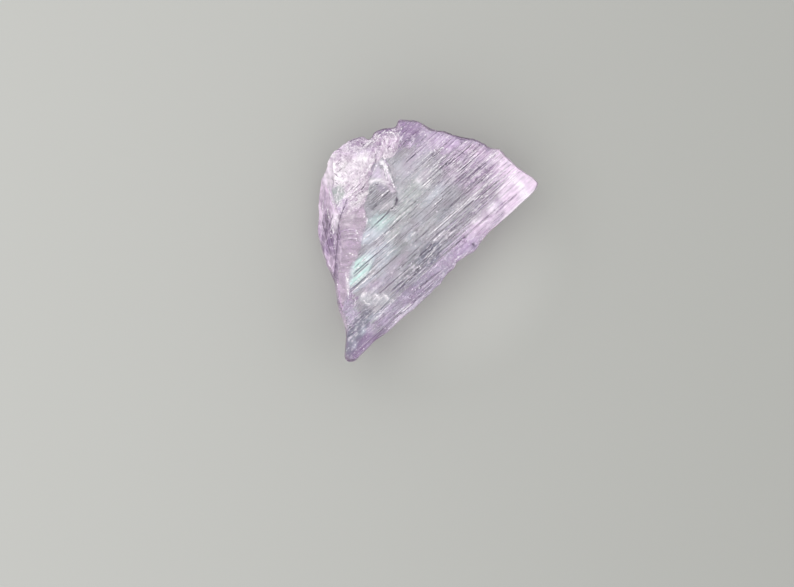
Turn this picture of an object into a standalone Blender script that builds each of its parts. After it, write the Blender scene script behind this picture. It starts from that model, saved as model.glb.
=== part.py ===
"""Kunzite crystal: a broken wedge of pale lilac spodumene, one natural solid.

It lies on its flat back (z = 0) with the striated main face up. X runs to the right and Y up in
the front view, which looks straight down -Z. The origin is under the middle of the outline.

Construction: a ring-built body gives the outline, the slanting underside and the flat back.
The striated main face, the two fracture planes of the left flank and the shell-shaped breaks
are then cut into it. All lengths are in metres unless a name says otherwise.
"""

import math

import bmesh
import bpy
import numpy as np
from mathutils import Vector, noise

# ---------------------------------------------------------------- driving dimensions
MM = 0.001
PX = 0.073 * MM  # one picture unit of the front view, from the crystal's 18.5 mm length
MID = (427.5, 240.9)  # middle of the outline in the front view, picture units
HUB = (415.0, 228.0)  # the rings are measured outwards from this point, picture units

C_AXIS_DEG = 43.8  # the striations and the long lower right edge run this way, above +X

# main face: z = FACE_Z + FACE_X * x + FACE_Y * y
FACE_Z, FACE_X, FACE_Y = 4.70 * MM, -0.080, 0.035
BODY_TOP = 6.6 * MM  # the body is built past the main face, which then cuts it

# Outline of the crystal seen from the front, clockwise from the notch at the top:
# x, y in picture units (y down), height above the back in mm where it is widest.
OUTLINE = [
    # broken upper edge
    (396, 127, 3.9), (398, 122, 3.9), (400, 120.3, 3.8), (406, 120.5, 3.7), (414, 121, 3.6),
    (420, 123, 3.5), (425, 125.7, 3.4), (430, 128.7, 3.4), (436, 130.5, 3.3), (444, 131.5, 3.3),
    (448, 133, 3.3), (456, 136, 3.2), (464, 138, 3.2), (472, 138.8, 3.1), (478, 141, 3.1),
    (484, 144, 3.1), (490, 148, 3.0), (497, 149, 3.0), (500, 150, 3.0), (505, 155, 3.0),
    (511, 161, 3.0), (515, 165, 3.0), (520, 169, 3.0), (527, 174, 3.0), (533, 178, 3.0),
    (537, 182, 3.0),
    # right tip
    (537.5, 185, 3.1), (535, 190, 3.2),
    # prism edge along the c axis
    (530, 195.5, 3.4), (525, 200, 3.6), (516, 208, 3.8), (510, 214, 3.9), (504, 219, 3.9),
    (498, 224.5, 4.0), (490, 231, 4.0), (484, 238, 4.0), (480, 243, 4.0), (477, 248, 4.0),
    (473, 252, 4.05), (467, 255.5, 4.05), (460, 260, 4.1), (456, 263.5, 4.1), (454, 268, 4.1),
    (448, 273, 4.1), (444, 278, 4.15), (440, 284, 4.15), (434, 289, 4.2), (430, 294, 4.2),
    (424, 299, 4.2), (420, 303, 4.2), (415, 308, 4.2), (410, 312, 4.2), (405, 316, 4.2),
    (400, 320, 4.2), (393.5, 326.5, 4.2), (387, 332.5, 4.15), (380.5, 337, 4.1), (374.5, 341, 4.1),
    (369.5, 346.5, 4.0), (364.5, 351.5, 3.9), (360, 356, 3.8), (355.5, 360.3, 3.6),
    # bottom tip
    (350, 361.7, 3.4), (346.4, 360, 3.3), (344.7, 356.5, 3.2),
    # broken left flank
    (344.9, 350, 3.1), (345.7, 343, 3.0), (346, 336, 2.95), (345.6, 330, 2.9), (344.6, 325.5, 2.85),
    (342.8, 320.5, 2.8), (340.8, 315, 2.7), (338.8, 309.5, 2.65), (337.5, 304, 2.6), (336.5, 296, 2.5), (335.5, 288, 2.4), (334.5, 282, 2.3), (332, 276, 2.2),
    (329, 270, 2.1), (326, 264, 2.0), (324, 257, 1.9), (322, 250, 1.9), (320, 243, 1.8),
    (318, 235, 1.8), (317.5, 228, 1.8), (318.5, 220, 1.9), (318.8, 212, 2.0), (318.5, 205, 2.1),
    (319, 195, 2.2), (319.5, 187, 2.3), (321, 181, 2.4), (324, 175, 2.5), (327, 168, 2.6),
    # broken shoulder
    (328, 162, 2.7), (331, 156, 2.8), (334, 152, 2.9), (338, 149.5, 3.0), (342, 146, 3.1),
    (346, 143, 3.2), (349, 141, 3.2), (354, 139, 3.3), (360, 137.5, 3.4), (364, 137.3, 3.5),
    (366, 139, 3.5), (369, 140, 3.6), (372, 137.5, 3.6), (374, 134, 3.7), (377, 131.5, 3.7),
    (381, 130, 3.8), (385, 129, 3.8), (389, 128.8, 3.8), (393, 128.5, 3.9),
]

# Flat back that it rests on, picture units, clockwise.
BACK = [
    (350, 158), (384, 147), (420, 147), (462, 162), (494, 184), (500, 196), (458, 233),
    (424, 264), (392, 298), (370, 322), (357, 320), (350, 288), (337, 254), (334, 208), (337, 178),
]

# How the walls run, by angle round the hub in degrees: share of the way from back to outline
# that the waist has reached at half height (0.5 is a straight slant), lean of the wall above
# the outline (mm inwards at BODY_TOP), and roughness of the wall (mm).
WALLS = [
    (18, 0.78, 0.40, 0.02),  # prism edge begins at the right tip
    (24, 0.50, 0.30, 0.10),  # upper edge
    (95, 0.50, 0.30, 0.12),
    (101, 0.55, 0.30, 0.12),  # shoulder and flank
    (236, 0.62, 0.35, 0.10),
    (246, 0.62, 0.55, 0.04),  # bottom tip
    (252, 0.80, 0.55, 0.02),  # prism edge
    (378, 0.78, 0.40, 0.02),
]
RING_HEIGHTS = [0.0, 0.25, 0.5, 0.75, 1.0]  # of the way from the back to the outline
RINGS_ABOVE = [0.4, 1.0]  # of the way from the outline to BODY_TOP

# Growth terraces of the main face, across the c axis: (v in mm, step up in mm)
TERRACES = [
    (-2.35, 0.05), (-1.70, -0.04), (-1.05, 0.05), (-0.35, -0.06), (0.55, 0.04), (1.15, 0.05),
    (1.95, -0.05), (2.85, 0.05), (3.60, -0.04), (4.75, 0.05), (5.60, -0.04), (6.75, -0.03),
]
TERRACE_RISE = 0.10  # mm across, the width of a terrace's step

# Fracture planes of the left side, each through three points: x, y in picture units, z in mm.
STRIP = [(348.5, 285, 5.05), (366, 222, 5.10), (337, 250, 4.36)]
FLANK = [(337.5, 225, 4.17), (334.5, 280, 4.30), (327, 168, 2.80)]
SHOULDER = [(396, 126, 4.98), (360, 208, 5.02), (327, 160, 2.90)]

# Cleavage steps sunk into the main face: corners in picture units with depth below it in mm.
WINDOW = [
    (363, 207, 0.24), (370, 184, 0.28), (383, 183, 0.26), (391, 187, 0.20), (396, 195, 0.16),
    (396, 205, 0.14), (388, 210, 0.10), (378, 215, 0.08), (368, 216, 0.12),
]
TRIANGLE = [
    (368, 184, 0.40), (373, 165, 0.36), (383, 159, 0.24), (388, 168, 0.14), (394, 183, 0.09),
    (383, 185, 0.20),
]

# Shell-shaped breaks, as uneven ellipsoids: x, y in picture units, height of the middle above
# the main face in mm, radii in mm (along x, along y, along z), turn about Z in degrees,
# unevenness as a share of the radius, and how finely it is divided.
SHELLS = [
    ("hollow", 330, 177, 3.20, 4.30, 5.35, 5.10, 20, 0.045, 3),
    ("upper_chip", 391, 146, 0.36, 0.62, 1.15, 0.72, -12, 0.20, 2),
    ("notch_chip", 389, 131, 0.28, 0.95, 0.62, 0.80, 24, 0.22, 2),
    ("side_chip", 376, 152, -0.30, 0.60, 1.05, 0.62, -28, 0.22, 2),
]


# ---------------------------------------------------------------- helpers
def place(px, py):
    """Picture units of the front view to metres."""
    return (px - MID[0]) * PX, (MID[1] - py) * PX


def main_face(x, y):
    return FACE_Z + FACE_X * x + FACE_Y * y


def along_c(x, y):
    """x, y to distances along and across the c axis."""
    c, s = math.cos(math.radians(C_AXIS_DEG)), math.sin(math.radians(C_AXIS_DEG))
    return x * c + y * s, -x * s + y * c


def from_c(u, v):
    c, s = math.cos(math.radians(C_AXIS_DEG)), math.sin(math.radians(C_AXIS_DEG))
    return u * c - v * s, u * s + v * c


def terrace(v):
    """Height of the growth terraces above the plain main face, at v across the c axis."""
    return sum(
        step * MM * min(max((v / MM - at) / TERRACE_RISE + 0.5, 0.0), 1.0)
        for at, step in TERRACES
    )


def rough(x, y, z, scale, seed):
    """Smooth noise from -1 to 1, with features about scale metres wide."""
    p = Vector((x, y, z)) / scale + Vector((seed * 7.3, seed * 3.1, seed * 5.7))
    return noise.noise(p) + 0.45 * noise.noise(p * 2.1)


def reach(polygon, angle):
    """Distance from the hub to the polygon's edge in that direction, in metres."""
    hub = Vector(place(*HUB))
    way = Vector((math.cos(angle), math.sin(angle)))
    best = 0.0
    corners = [Vector(place(*p[:2])) for p in polygon]
    for a, b in zip(corners, corners[1:] + corners[:1]):
        e = b - a
        det = way.x * -e.y + way.y * e.x
        if abs(det) < 1e-15:
            continue
        d = a - hub
        t = (d.x * -e.y + d.y * e.x) / det
        k = (way.x * d.y - way.y * d.x) / det
        if t > 0 and -1e-9 <= k <= 1 + 1e-9:
            best = max(best, t)
    return best


def softer(angle):
    """The outline's distance from the hub with its small kinks smoothed away."""
    spread = [math.radians(d) for d in (-10, -5, 0, 5, 10)]
    return sum(reach(OUTLINE, angle + d) for d in spread) / len(spread)


def wall(angle):
    """Waist, lean in metres and roughness in metres at that angle round the hub."""
    a = math.degrees(angle) % 360
    if a < WALLS[0][0]:
        a += 360
    for low, high in zip(WALLS, WALLS[1:]):
        if low[0] <= a <= high[0]:
            k = (a - low[0]) / (high[0] - low[0])
            waist, lean, bumps = (p + (q - p) * k for p, q in zip(low[1:], high[1:]))
            return waist, lean * MM, bumps * MM
    return WALLS[-1][1], WALLS[-1][2] * MM, WALLS[-1][3] * MM


def new_object(name, points, faces):
    mesh = bpy.data.meshes.new(name)
    mesh.from_pydata([tuple(p) for p in points], [], faces)
    solid = bmesh.new()
    solid.from_mesh(mesh)
    bmesh.ops.recalc_face_normals(solid, faces=solid.faces)
    solid.to_mesh(mesh)
    solid.free()
    made = bpy.data.objects.new(name, mesh)
    bpy.context.scene.collection.objects.link(made)
    return made


def as_cutter(made):
    made.hide_render = True
    made.display_type = "WIRE"
    return made


def cut(body, cutter):
    modifier = body.modifiers.new(cutter.name, "BOOLEAN")
    modifier.operation = "DIFFERENCE"
    modifier.solver = "EXACT"
    modifier.object = as_cutter(cutter)


# ---------------------------------------------------------------- the body
def ring_body(name):
    """Rings from the flat back, out to the outline and up past the main face."""
    hx, hy = place(*HUB)
    corners = []
    for px, py, high in OUTLINE:
        x, y = place(px, py)
        corners.append((math.atan2(y - hy, x - hx), math.hypot(x - hx, y - hy), high * MM))
    corners.sort()
    points, rings = [], 0
    for level in RING_HEIGHTS:
        for angle, far, high in corners:
            waist, _, bumps = wall(angle)
            back = reach(BACK, angle)
            share = level / 0.5 * waist if level < 0.5 else waist + (level - 0.5) / 0.5 * (1 - waist)
            eased = softer(angle) + (far - softer(angle)) * level**1.5
            r = back + (eased - back) * share
            z = high * level
            if 0 < level < 1:
                x, y = hx + r * math.cos(angle), hy + r * math.sin(angle)
                r += bumps * rough(x, y, z, 1.6 * MM, 1)
            points.append((hx + r * math.cos(angle), hy + r * math.sin(angle), z))
        rings += 1
    for level in RINGS_ABOVE:
        for angle, far, high in corners:
            _, lean, _ = wall(angle)
            r = far - lean * level
            z = high + (BODY_TOP - high) * level
            points.append((hx + r * math.cos(angle), hy + r * math.sin(angle), z))
        rings += 1
    n = len(corners)
    faces = [tuple(range(n - 1, -1, -1)), tuple(range((rings - 1) * n, rings * n))]
    for k in range(rings - 1):
        for i in range(n):
            j = (i + 1) % n
            faces.append((k * n + i, k * n + j, (k + 1) * n + j, (k + 1) * n + i))
    return new_object(name, points, faces)


# ---------------------------------------------------------------- the cutters
def sheet_cutter(name, points, rows, columns, rise):
    """A closed box whose lower side is the sheet of points, row by row; rise is its height vector."""
    up = Vector(rise)
    low = [Vector(p) for p in points]
    everything = low + [p + up for p in low]
    n = rows * columns
    faces = []
    for r in range(rows - 1):
        for c in range(columns - 1):
            a, b = r * columns + c, r * columns + c + 1
            d, e = a + columns, b + columns
            faces.append((a, d, e, b))
            faces.append((n + a, n + b, n + e, n + d))
    edge = (
        [c for c in range(columns - 1)]
        + [r * columns + columns - 1 for r in range(rows - 1)]
        + [(rows - 1) * columns + c for c in range(columns - 1, 0, -1)]
        + [r * columns for r in range(rows - 1, 0, -1)]
    )
    for a, b in zip(edge, edge[1:] + edge[:1]):
        faces.append((a, b, n + b, n + a))
    return new_object(name, everything, faces)


def main_face_cutter():
    """Everything above the striated main face, terrace by terrace."""
    across = [-9.0]
    for at, _ in TERRACES:
        across += [at - TERRACE_RISE / 2, at + TERRACE_RISE / 2]
    across.append(12.0)
    along = list(np.linspace(-13.0, 13.0, 9))
    points = []
    for u in along:
        for v in across:
            x, y = from_c(u * MM, v * MM)
            bend = 0.03 * MM * rough(x, y, 0, 5.0 * MM, 2)
            points.append((x, y, main_face(x, y) + terrace(v * MM) + bend))
    return sheet_cutter("main_face", points, len(along), len(across), (0, 0, 6 * MM))


def plane_cutter(name, through, seed, bumps, cell=0.8, span=11.0):
    """Everything above a gently uneven fracture plane through three points."""
    a, b, c = (Vector((*place(px, py), z * MM)) for px, py, z in through)
    normal = (b - a).cross(c - a).normalized()
    if normal.z < 0:
        normal.negate()
    middle = (a + b + c) / 3
    side = Vector((0, 0, 1)).cross(normal).normalized()
    slope = normal.cross(side)
    steps = int(span / cell) + 1
    points = []
    for i in range(steps):
        for j in range(steps):
            s, t = (i / (steps - 1) - 0.5) * span * MM, (j / (steps - 1) - 0.5) * span * MM
            p = middle + side * s + slope * t
            points.append(p + normal * bumps * MM * rough(p.x, p.y, p.z, 1.7 * MM, seed))
    return sheet_cutter(name, points, steps, steps, normal * 9 * MM)


def step_cutter(name, corners, slant=0.12):
    """Everything above a sunk patch of the main face, its wall leaning outwards."""
    cx = sum(p[0] for p in corners) / len(corners)
    cy = sum(p[1] for p in corners) / len(corners)
    low, high = [], []
    for px, py, depth in corners:
        x, y = place(px, py)
        low.append((x, y, main_face(x, y) - depth * MM))
        out = 1 + slant * (1.2 + depth) / depth
        x, y = place(cx + (px - cx) * out, cy + (py - cy) * out)
        high.append((x, y, main_face(x, y) + 1.2 * MM))
    n = len(corners)
    x, y = place(cx, cy)
    depth = sum(p[2] for p in corners) / n
    points = low + high + [(x, y, main_face(x, y) - depth * MM)]
    faces = [tuple(range(n, 2 * n))]
    for i in range(n):
        j = (i + 1) % n
        faces.append((i, j, n + j, n + i))
        faces.append((2 * n, i, j))
    return new_object(name, points, faces)


def shell_cutter(name, px, py, above, rx, ry, rz, turn, uneven, detail, seed):
    """An uneven ellipsoid, which leaves a shell-shaped hollow."""
    bpy.ops.mesh.primitive_ico_sphere_add(subdivisions=detail, radius=1.0)
    made = bpy.context.object
    made.name = name
    x, y = place(px, py)
    middle = Vector((x, y, main_face(x, y) + above * MM))
    c, s = math.cos(math.radians(turn)), math.sin(math.radians(turn))
    for vertex in made.data.vertices:
        d = vertex.co.normalized()
        k = 1 + uneven * rough(d.x, d.y, d.z, 0.55, seed)
        ex, ey, ez = d.x * rx * MM * k, d.y * ry * MM * k, d.z * rz * MM * k
        vertex.co = middle + Vector((ex * c - ey * s, ex * s + ey * c, ez))
    made.location = (0, 0, 0)
    return made


# ---------------------------------------------------------------- build
for old in list(bpy.data.objects):
    bpy.data.objects.remove(old, do_unlink=True)

crystal = ring_body("kunzite_crystal")
cut(crystal, main_face_cutter())
cut(crystal, plane_cutter("shoulder_break", SHOULDER, 5, 0.13))
cut(crystal, plane_cutter("strip_break", STRIP, 3, 0.05))
cut(crystal, plane_cutter("flank_break", FLANK, 4, 0.10))
cut(crystal, step_cutter("triangle_step", TRIANGLE))
cut(crystal, step_cutter("window_step", WINDOW))
for index, (label, *sizes) in enumerate(SHELLS):
    cut(crystal, shell_cutter(label + "_break", *sizes, index + 5))

lilac = bpy.data.materials.new("lilac_kunzite")
lilac.use_nodes = True
shader = lilac.node_tree.nodes["Principled BSDF"]
shader.inputs["Base Color"].default_value = (0.78, 0.66, 0.83, 1)
shader.inputs["Roughness"].default_value = 0.08
shader.inputs["Metallic"].default_value = 0.0
shader.inputs["Transmission Weight"].default_value = 1.0
shader.inputs["IOR"].default_value = 1.67
crystal.data.materials.append(lilac)
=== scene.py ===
"""Looks of the kunzite crystal: the fine surface, its clear lilac material, floor, light and camera.

Lengths are in millimetres where a name ends in _mm or a table says so, and in metres otherwise.
Picture units are the photograph's pixels, 794 x 587, y down.
"""

import math

import bmesh
import bpy
import numpy as np
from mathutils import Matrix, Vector, noise


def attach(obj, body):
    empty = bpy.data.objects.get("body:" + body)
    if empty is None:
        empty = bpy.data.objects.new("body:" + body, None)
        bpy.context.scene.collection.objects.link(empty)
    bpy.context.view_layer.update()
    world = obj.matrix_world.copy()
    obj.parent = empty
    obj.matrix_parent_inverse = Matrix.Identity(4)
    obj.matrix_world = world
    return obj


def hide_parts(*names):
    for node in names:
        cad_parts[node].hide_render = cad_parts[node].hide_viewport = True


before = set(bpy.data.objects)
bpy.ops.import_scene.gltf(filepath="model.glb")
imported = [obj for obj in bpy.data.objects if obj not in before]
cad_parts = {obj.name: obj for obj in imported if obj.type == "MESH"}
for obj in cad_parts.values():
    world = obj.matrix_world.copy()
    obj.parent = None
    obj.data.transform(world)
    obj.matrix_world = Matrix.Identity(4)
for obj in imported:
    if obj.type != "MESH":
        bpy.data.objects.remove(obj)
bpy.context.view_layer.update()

# ---------------------------------------------------------------- the solid's own sizes
MM = 0.001
PX = 0.073 * MM
MID = (427.5, 240.9)
HUB = (415.0, 228.0)
C_AXIS_DEG = 43.8
FACE_Z, FACE_X, FACE_Y = 4.70 * MM, -0.080, 0.035
BODY_TOP = 6.6 * MM

OUTLINE = [
    # broken upper edge
    (396, 127, 3.9), (398, 122, 3.9), (400, 120.3, 3.8), (406, 120.5, 3.7), (414, 121, 3.6),
    (420, 123, 3.5), (425, 125.7, 3.4), (430, 128.7, 3.4), (436, 130.5, 3.3), (444, 131.5, 3.3),
    (448, 133, 3.3), (456, 136, 3.2), (464, 138, 3.2), (472, 138.8, 3.1), (478, 141, 3.1),
    (484, 144, 3.1), (490, 148, 3.0), (497, 149, 3.0), (500, 150, 3.0), (505, 155, 3.0),
    (511, 161, 3.0), (515, 165, 3.0), (520, 169, 3.0), (527, 174, 3.0), (533, 178, 3.0),
    (537, 182, 3.0),
    # right tip
    (537.5, 185, 3.1), (535, 190, 3.2),
    # prism edge along the c axis
    (530, 195.5, 3.4), (525, 200, 3.6), (516, 208, 3.8), (510, 214, 3.9), (504, 219, 3.9),
    (498, 224.5, 4.0), (490, 231, 4.0), (484, 238, 4.0), (480, 243, 4.0), (477, 248, 4.0),
    (473, 252, 4.05), (467, 255.5, 4.05), (460, 260, 4.1), (456, 263.5, 4.1), (454, 268, 4.1),
    (448, 273, 4.1), (444, 278, 4.15), (440, 284, 4.15), (434, 289, 4.2), (430, 294, 4.2),
    (424, 299, 4.2), (420, 303, 4.2), (415, 308, 4.2), (410, 312, 4.2), (405, 316, 4.2),
    (400, 320, 4.2), (393.5, 326.5, 4.2), (387, 332.5, 4.15), (380.5, 337, 4.1), (374.5, 341, 4.1),
    (369.5, 346.5, 4.0), (364.5, 351.5, 3.9), (360, 356, 3.8), (355.5, 360.3, 3.6),
    # bottom tip
    (350, 361.7, 3.4), (346.4, 360, 3.3), (344.7, 356.5, 3.2),
    # broken left flank
    (344.9, 350, 3.1), (345.7, 343, 3.0), (346, 336, 2.95), (345.6, 330, 2.9), (344.6, 325.5, 2.85),
    (342.8, 320.5, 2.8), (340.8, 315, 2.7), (338.8, 309.5, 2.65), (337.5, 304, 2.6), (336.5, 296, 2.5), (335.5, 288, 2.4), (334.5, 282, 2.3), (332, 276, 2.2),
    (329, 270, 2.1), (326, 264, 2.0), (324, 257, 1.9), (322, 250, 1.9), (320, 243, 1.8),
    (318, 235, 1.8), (317.5, 228, 1.8), (318.5, 220, 1.9), (318.8, 212, 2.0), (318.5, 205, 2.1),
    (319, 195, 2.2), (319.5, 187, 2.3), (321, 181, 2.4), (324, 175, 2.5), (327, 168, 2.6),
    # broken shoulder
    (328, 162, 2.7), (331, 156, 2.8), (334, 152, 2.9), (338, 149.5, 3.0), (342, 146, 3.1),
    (346, 143, 3.2), (349, 141, 3.2), (354, 139, 3.3), (360, 137.5, 3.4), (364, 137.3, 3.5),
    (366, 139, 3.5), (369, 140, 3.6), (372, 137.5, 3.6), (374, 134, 3.7), (377, 131.5, 3.7),
    (381, 130, 3.8), (385, 129, 3.8), (389, 128.8, 3.8), (393, 128.5, 3.9),
]

BACK = [
    (350, 158), (384, 147), (420, 147), (462, 162), (494, 184), (500, 196), (458, 233),
    (424, 264), (392, 298), (370, 322), (357, 320), (350, 288), (337, 254), (334, 208), (337, 178),
]

# angle round the hub, waist, lean above the outline in mm, roughness of the wall in mm,
# 1 where the wall is a striated prism face and 0 where it is broken
WALLS = [
    (18, 0.78, 0.40, 0.02, 1.0),
    (24, 0.50, 0.30, 0.10, 0.0),
    (95, 0.50, 0.30, 0.12, 0.0),
    (101, 0.55, 0.30, 0.12, 0.0),
    (236, 0.62, 0.35, 0.10, 0.0),
    (246, 0.62, 0.55, 0.04, 0.3),
    (252, 0.80, 0.55, 0.02, 1.0),
    (378, 0.78, 0.40, 0.02, 1.0),
]

TERRACES = [
    (-2.35, 0.05), (-1.70, -0.04), (-1.05, 0.05), (-0.35, -0.06), (0.55, 0.04), (1.15, 0.05),
    (1.95, -0.05), (2.85, 0.05), (3.60, -0.04), (4.75, 0.05), (5.60, -0.04), (6.75, -0.03),
]
TERRACE_RISE = 0.10

STRIP = [(348.5, 285, 5.05), (366, 222, 5.10), (337, 250, 4.36)]
FLANK = [(337.5, 225, 4.17), (334.5, 280, 4.30), (327, 168, 2.80)]
SHOULDER = [(396, 126, 4.98), (360, 208, 5.02), (327, 160, 2.90)]
WINDOW = [
    (363, 207, 0.24), (370, 184, 0.28), (383, 183, 0.26), (391, 187, 0.20), (396, 195, 0.16),
    (396, 205, 0.14), (388, 210, 0.10), (378, 215, 0.08), (368, 216, 0.12),
]
TRIANGLE = [
    (368, 184, 0.40), (373, 165, 0.36), (383, 159, 0.24), (388, 168, 0.14), (394, 183, 0.09),
    (383, 185, 0.20),
]
SHELLS = [
    ("hollow", 330, 177, 3.20, 4.30, 5.35, 5.10, 20, 0.045, 5),
    ("upper_chip", 391, 146, 0.36, 0.62, 1.15, 0.72, -12, 0.20, 6),
    ("notch_chip", 389, 131, 0.28, 0.95, 0.62, 0.80, 24, 0.22, 7),
    ("side_chip", 376, 152, -0.30, 0.60, 1.05, 0.62, -28, 0.22, 8),
]

# zones of the surface, kept on its faces for the material
BACK_ZONE, PRISM, BROKEN, FACE, STRIP_ZONE, FLANK_ZONE, SHOULDER_ZONE, STEP, CHIP = range(9)

C, S = math.cos(math.radians(C_AXIS_DEG)), math.sin(math.radians(C_AXIS_DEG))


# ---------------------------------------------------------------- measuring helpers
def place(px, py):
    """Picture units to metres, where the crystal lies."""
    return (px - MID[0]) * PX, (MID[1] - py) * PX


def main_face(x, y):
    return FACE_Z + FACE_X * x + FACE_Y * y


def along_c(x, y):
    return x * C + y * S, -x * S + y * C


def from_c(u, v):
    return u * C - v * S, u * S + v * C


def terrace(v):
    total = np.zeros_like(v)
    for at, step in TERRACES:
        total += step * MM * np.clip((v / MM - at) / TERRACE_RISE + 0.5, 0, 1)
    return total


def rough(x, y, z, scale, seed):
    """The solid's own broad unevenness, from -1 to 1."""
    p = Vector((x, y, z)) / scale + Vector((seed * 7.3, seed * 3.1, seed * 5.7))
    return noise.noise(p) + 0.45 * noise.noise(p * 2.1)


def rough_all(points, scale, seed):
    return np.array([rough(*p, scale, seed) for p in points])


class Grain:
    """Smooth noise on arrays, about -1 to 1, with features one unit wide."""

    def __init__(self, seed):
        g = np.random.default_rng(seed).normal(size=(32, 32, 32, 3))
        self.g = g / np.linalg.norm(g, axis=-1, keepdims=True)

    def __call__(self, x, y, z=0.0):
        x, y, z = np.broadcast_arrays(x, y, z)
        ix, iy, iz = (np.floor(v).astype(int) for v in (x, y, z))
        fx, fy, fz = x - ix, y - iy, z - iz
        sx, sy, sz = (f * f * f * (f * (f * 6 - 15) + 10) for f in (fx, fy, fz))
        total = 0.0
        for a in (0, 1):
            for b in (0, 1):
                for c in (0, 1):
                    g = self.g[(ix + a) % 32, (iy + b) % 32, (iz + c) % 32]
                    dot = g[..., 0] * (fx - a) + g[..., 1] * (fy - b) + g[..., 2] * (fz - c)
                    weight = (
                        (sx if a else 1 - sx) * (sy if b else 1 - sy) * (sz if c else 1 - sz)
                    )
                    total = total + dot * weight
        return total * 1.6


def scars(x, y, seed, spacing, bowl, tilt, reach_mm):
    """Flake scars: small bowls that meet in sharp ridges. x, y in mm, height in mm."""
    rng = np.random.default_rng(seed)
    x0, x1, y0, y1 = reach_mm
    n = int((x1 - x0) * (y1 - y0) / spacing**2)
    cx, cy = rng.uniform(x0, x1, n), rng.uniform(y0, y1, n)
    tx, ty = rng.normal(0, tilt, n), rng.normal(0, tilt, n)
    off = rng.uniform(0, spacing * 0.12, n)
    size = rng.uniform(0.6, 1.5, n)
    best = np.full(x.shape, np.inf)
    for k in range(n):
        dx, dy = x - cx[k], y - cy[k]
        best = np.minimum(
            best, bowl / size[k] * (dx * dx + dy * dy) + tx[k] * dx + ty[k] * dy + off[k]
        )
    return best


# ---------------------------------------------------------------- mesh helpers
def new_object(name, points, faces, zones=None, even=0):
    mesh = bpy.data.meshes.new(name)
    mesh.from_pydata([tuple(p) for p in points], [], faces)
    for k in range(9):
        mesh.materials.append(zone_marks[k])
    if zones is not None:
        mesh.polygons.foreach_set("material_index", np.array(zones, np.int32))
    else:
        mesh.polygons.foreach_set("material_index", np.full(len(faces), even, np.int32))
    solid = bmesh.new()
    solid.from_mesh(mesh)
    bmesh.ops.recalc_face_normals(solid, faces=solid.faces)
    solid.to_mesh(mesh)
    solid.free()
    made = bpy.data.objects.new(name, mesh)
    bpy.context.scene.collection.objects.link(made)
    return made


def grid_box(name, points, rows, columns, rise, zone):
    """A closed box whose lower side is the sheet of points, row by row."""
    low = np.asarray(points, float)
    everything = np.vstack([low, low + np.asarray(rise, float)])
    n = rows * columns
    r, c = np.meshgrid(np.arange(rows - 1), np.arange(columns - 1), indexing="ij")
    a = (r * columns + c).ravel()
    b, d, e = a + 1, a + columns, a + columns + 1
    faces = np.stack([a, d, e, b], 1).tolist()
    edge = (
        [c for c in range(columns - 1)]
        + [r * columns + columns - 1 for r in range(rows - 1)]
        + [(rows - 1) * columns + c for c in range(columns - 1, 0, -1)]
        + [r * columns for r in range(rows - 1, 0, -1)]
    )
    for p, q in zip(edge, edge[1:] + edge[:1]):
        faces.append((p, q, n + q, n + p))
    faces.append(tuple(n + k for k in edge))
    used = np.zeros(2 * n, bool)
    used[:n] = True
    used[[n + k for k in edge]] = True
    new = np.cumsum(used) - 1
    faces = [tuple(int(new[k]) for k in f) for f in faces]
    return new_object(name, everything[used], faces, even=zone)


def subtract(body, cutter):
    modifier = body.modifiers.new(cutter.name, "BOOLEAN")
    modifier.operation = "DIFFERENCE"
    modifier.solver = "MANIFOLD"
    modifier.object = cutter
    made = bpy.data.meshes.new_from_object(
        body.evaluated_get(bpy.context.evaluated_depsgraph_get())
    )
    body.modifiers.clear()
    body.data = made
    bpy.data.objects.remove(cutter)
    return len(made.polygons)


# ---------------------------------------------------------------- the fine body
def reach(polygon, angles):
    """Distance from the hub to a polygon's edge at each angle."""
    hub = np.array(place(*HUB))
    corner = np.array([place(*p[:2]) for p in polygon])
    after = np.roll(corner, -1, axis=0)
    way = np.stack([np.cos(angles), np.sin(angles)], 1)
    best = np.zeros(len(angles))
    for a, b in zip(corner, after):
        e, d = b - a, a - hub
        det = way[:, 0] * -e[1] + way[:, 1] * e[0]
        det = np.where(abs(det) < 1e-15, 1e-15, det)
        t = (d[0] * -e[1] + d[1] * e[0]) / det
        k = (way[:, 0] * d[1] - way[:, 1] * d[0]) / det
        best = np.maximum(best, np.where((t > 0) & (k >= -1e-9) & (k <= 1 + 1e-9), t, 0))
    return best


def fine_outline(count):
    """The outline as a smooth closed curve of count points, evenly spaced, with fine chips on its broken stretches."""
    p = np.array([(*place(x, y), h * MM) for x, y, h in OUTLINE])[::-1]
    q = np.vstack([p[-1:], p, p[:2]])
    fine = []
    for k in range(1, len(q) - 2):
        a, b, c, d = q[k - 1 : k + 3]
        for t in np.linspace(0, 1, 16, endpoint=False):
            fine.append(
                0.5
                * (
                    2 * b
                    + (c - a) * t
                    + (2 * a - 5 * b + 4 * c - d) * t**2
                    + (3 * b - a - 3 * c + d) * t**3
                )
            )
    fine = np.array(fine)
    step = np.linalg.norm(np.diff(np.vstack([fine, fine[:1]])[:, :2], axis=0), axis=1)
    run = np.concatenate([[0], np.cumsum(step)])
    want = np.linspace(0, run[-1], count, endpoint=False)
    closed = np.vstack([fine, fine[:1]])
    return np.stack([np.interp(want, run, closed[:, k]) for k in range(3)], 1)


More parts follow.
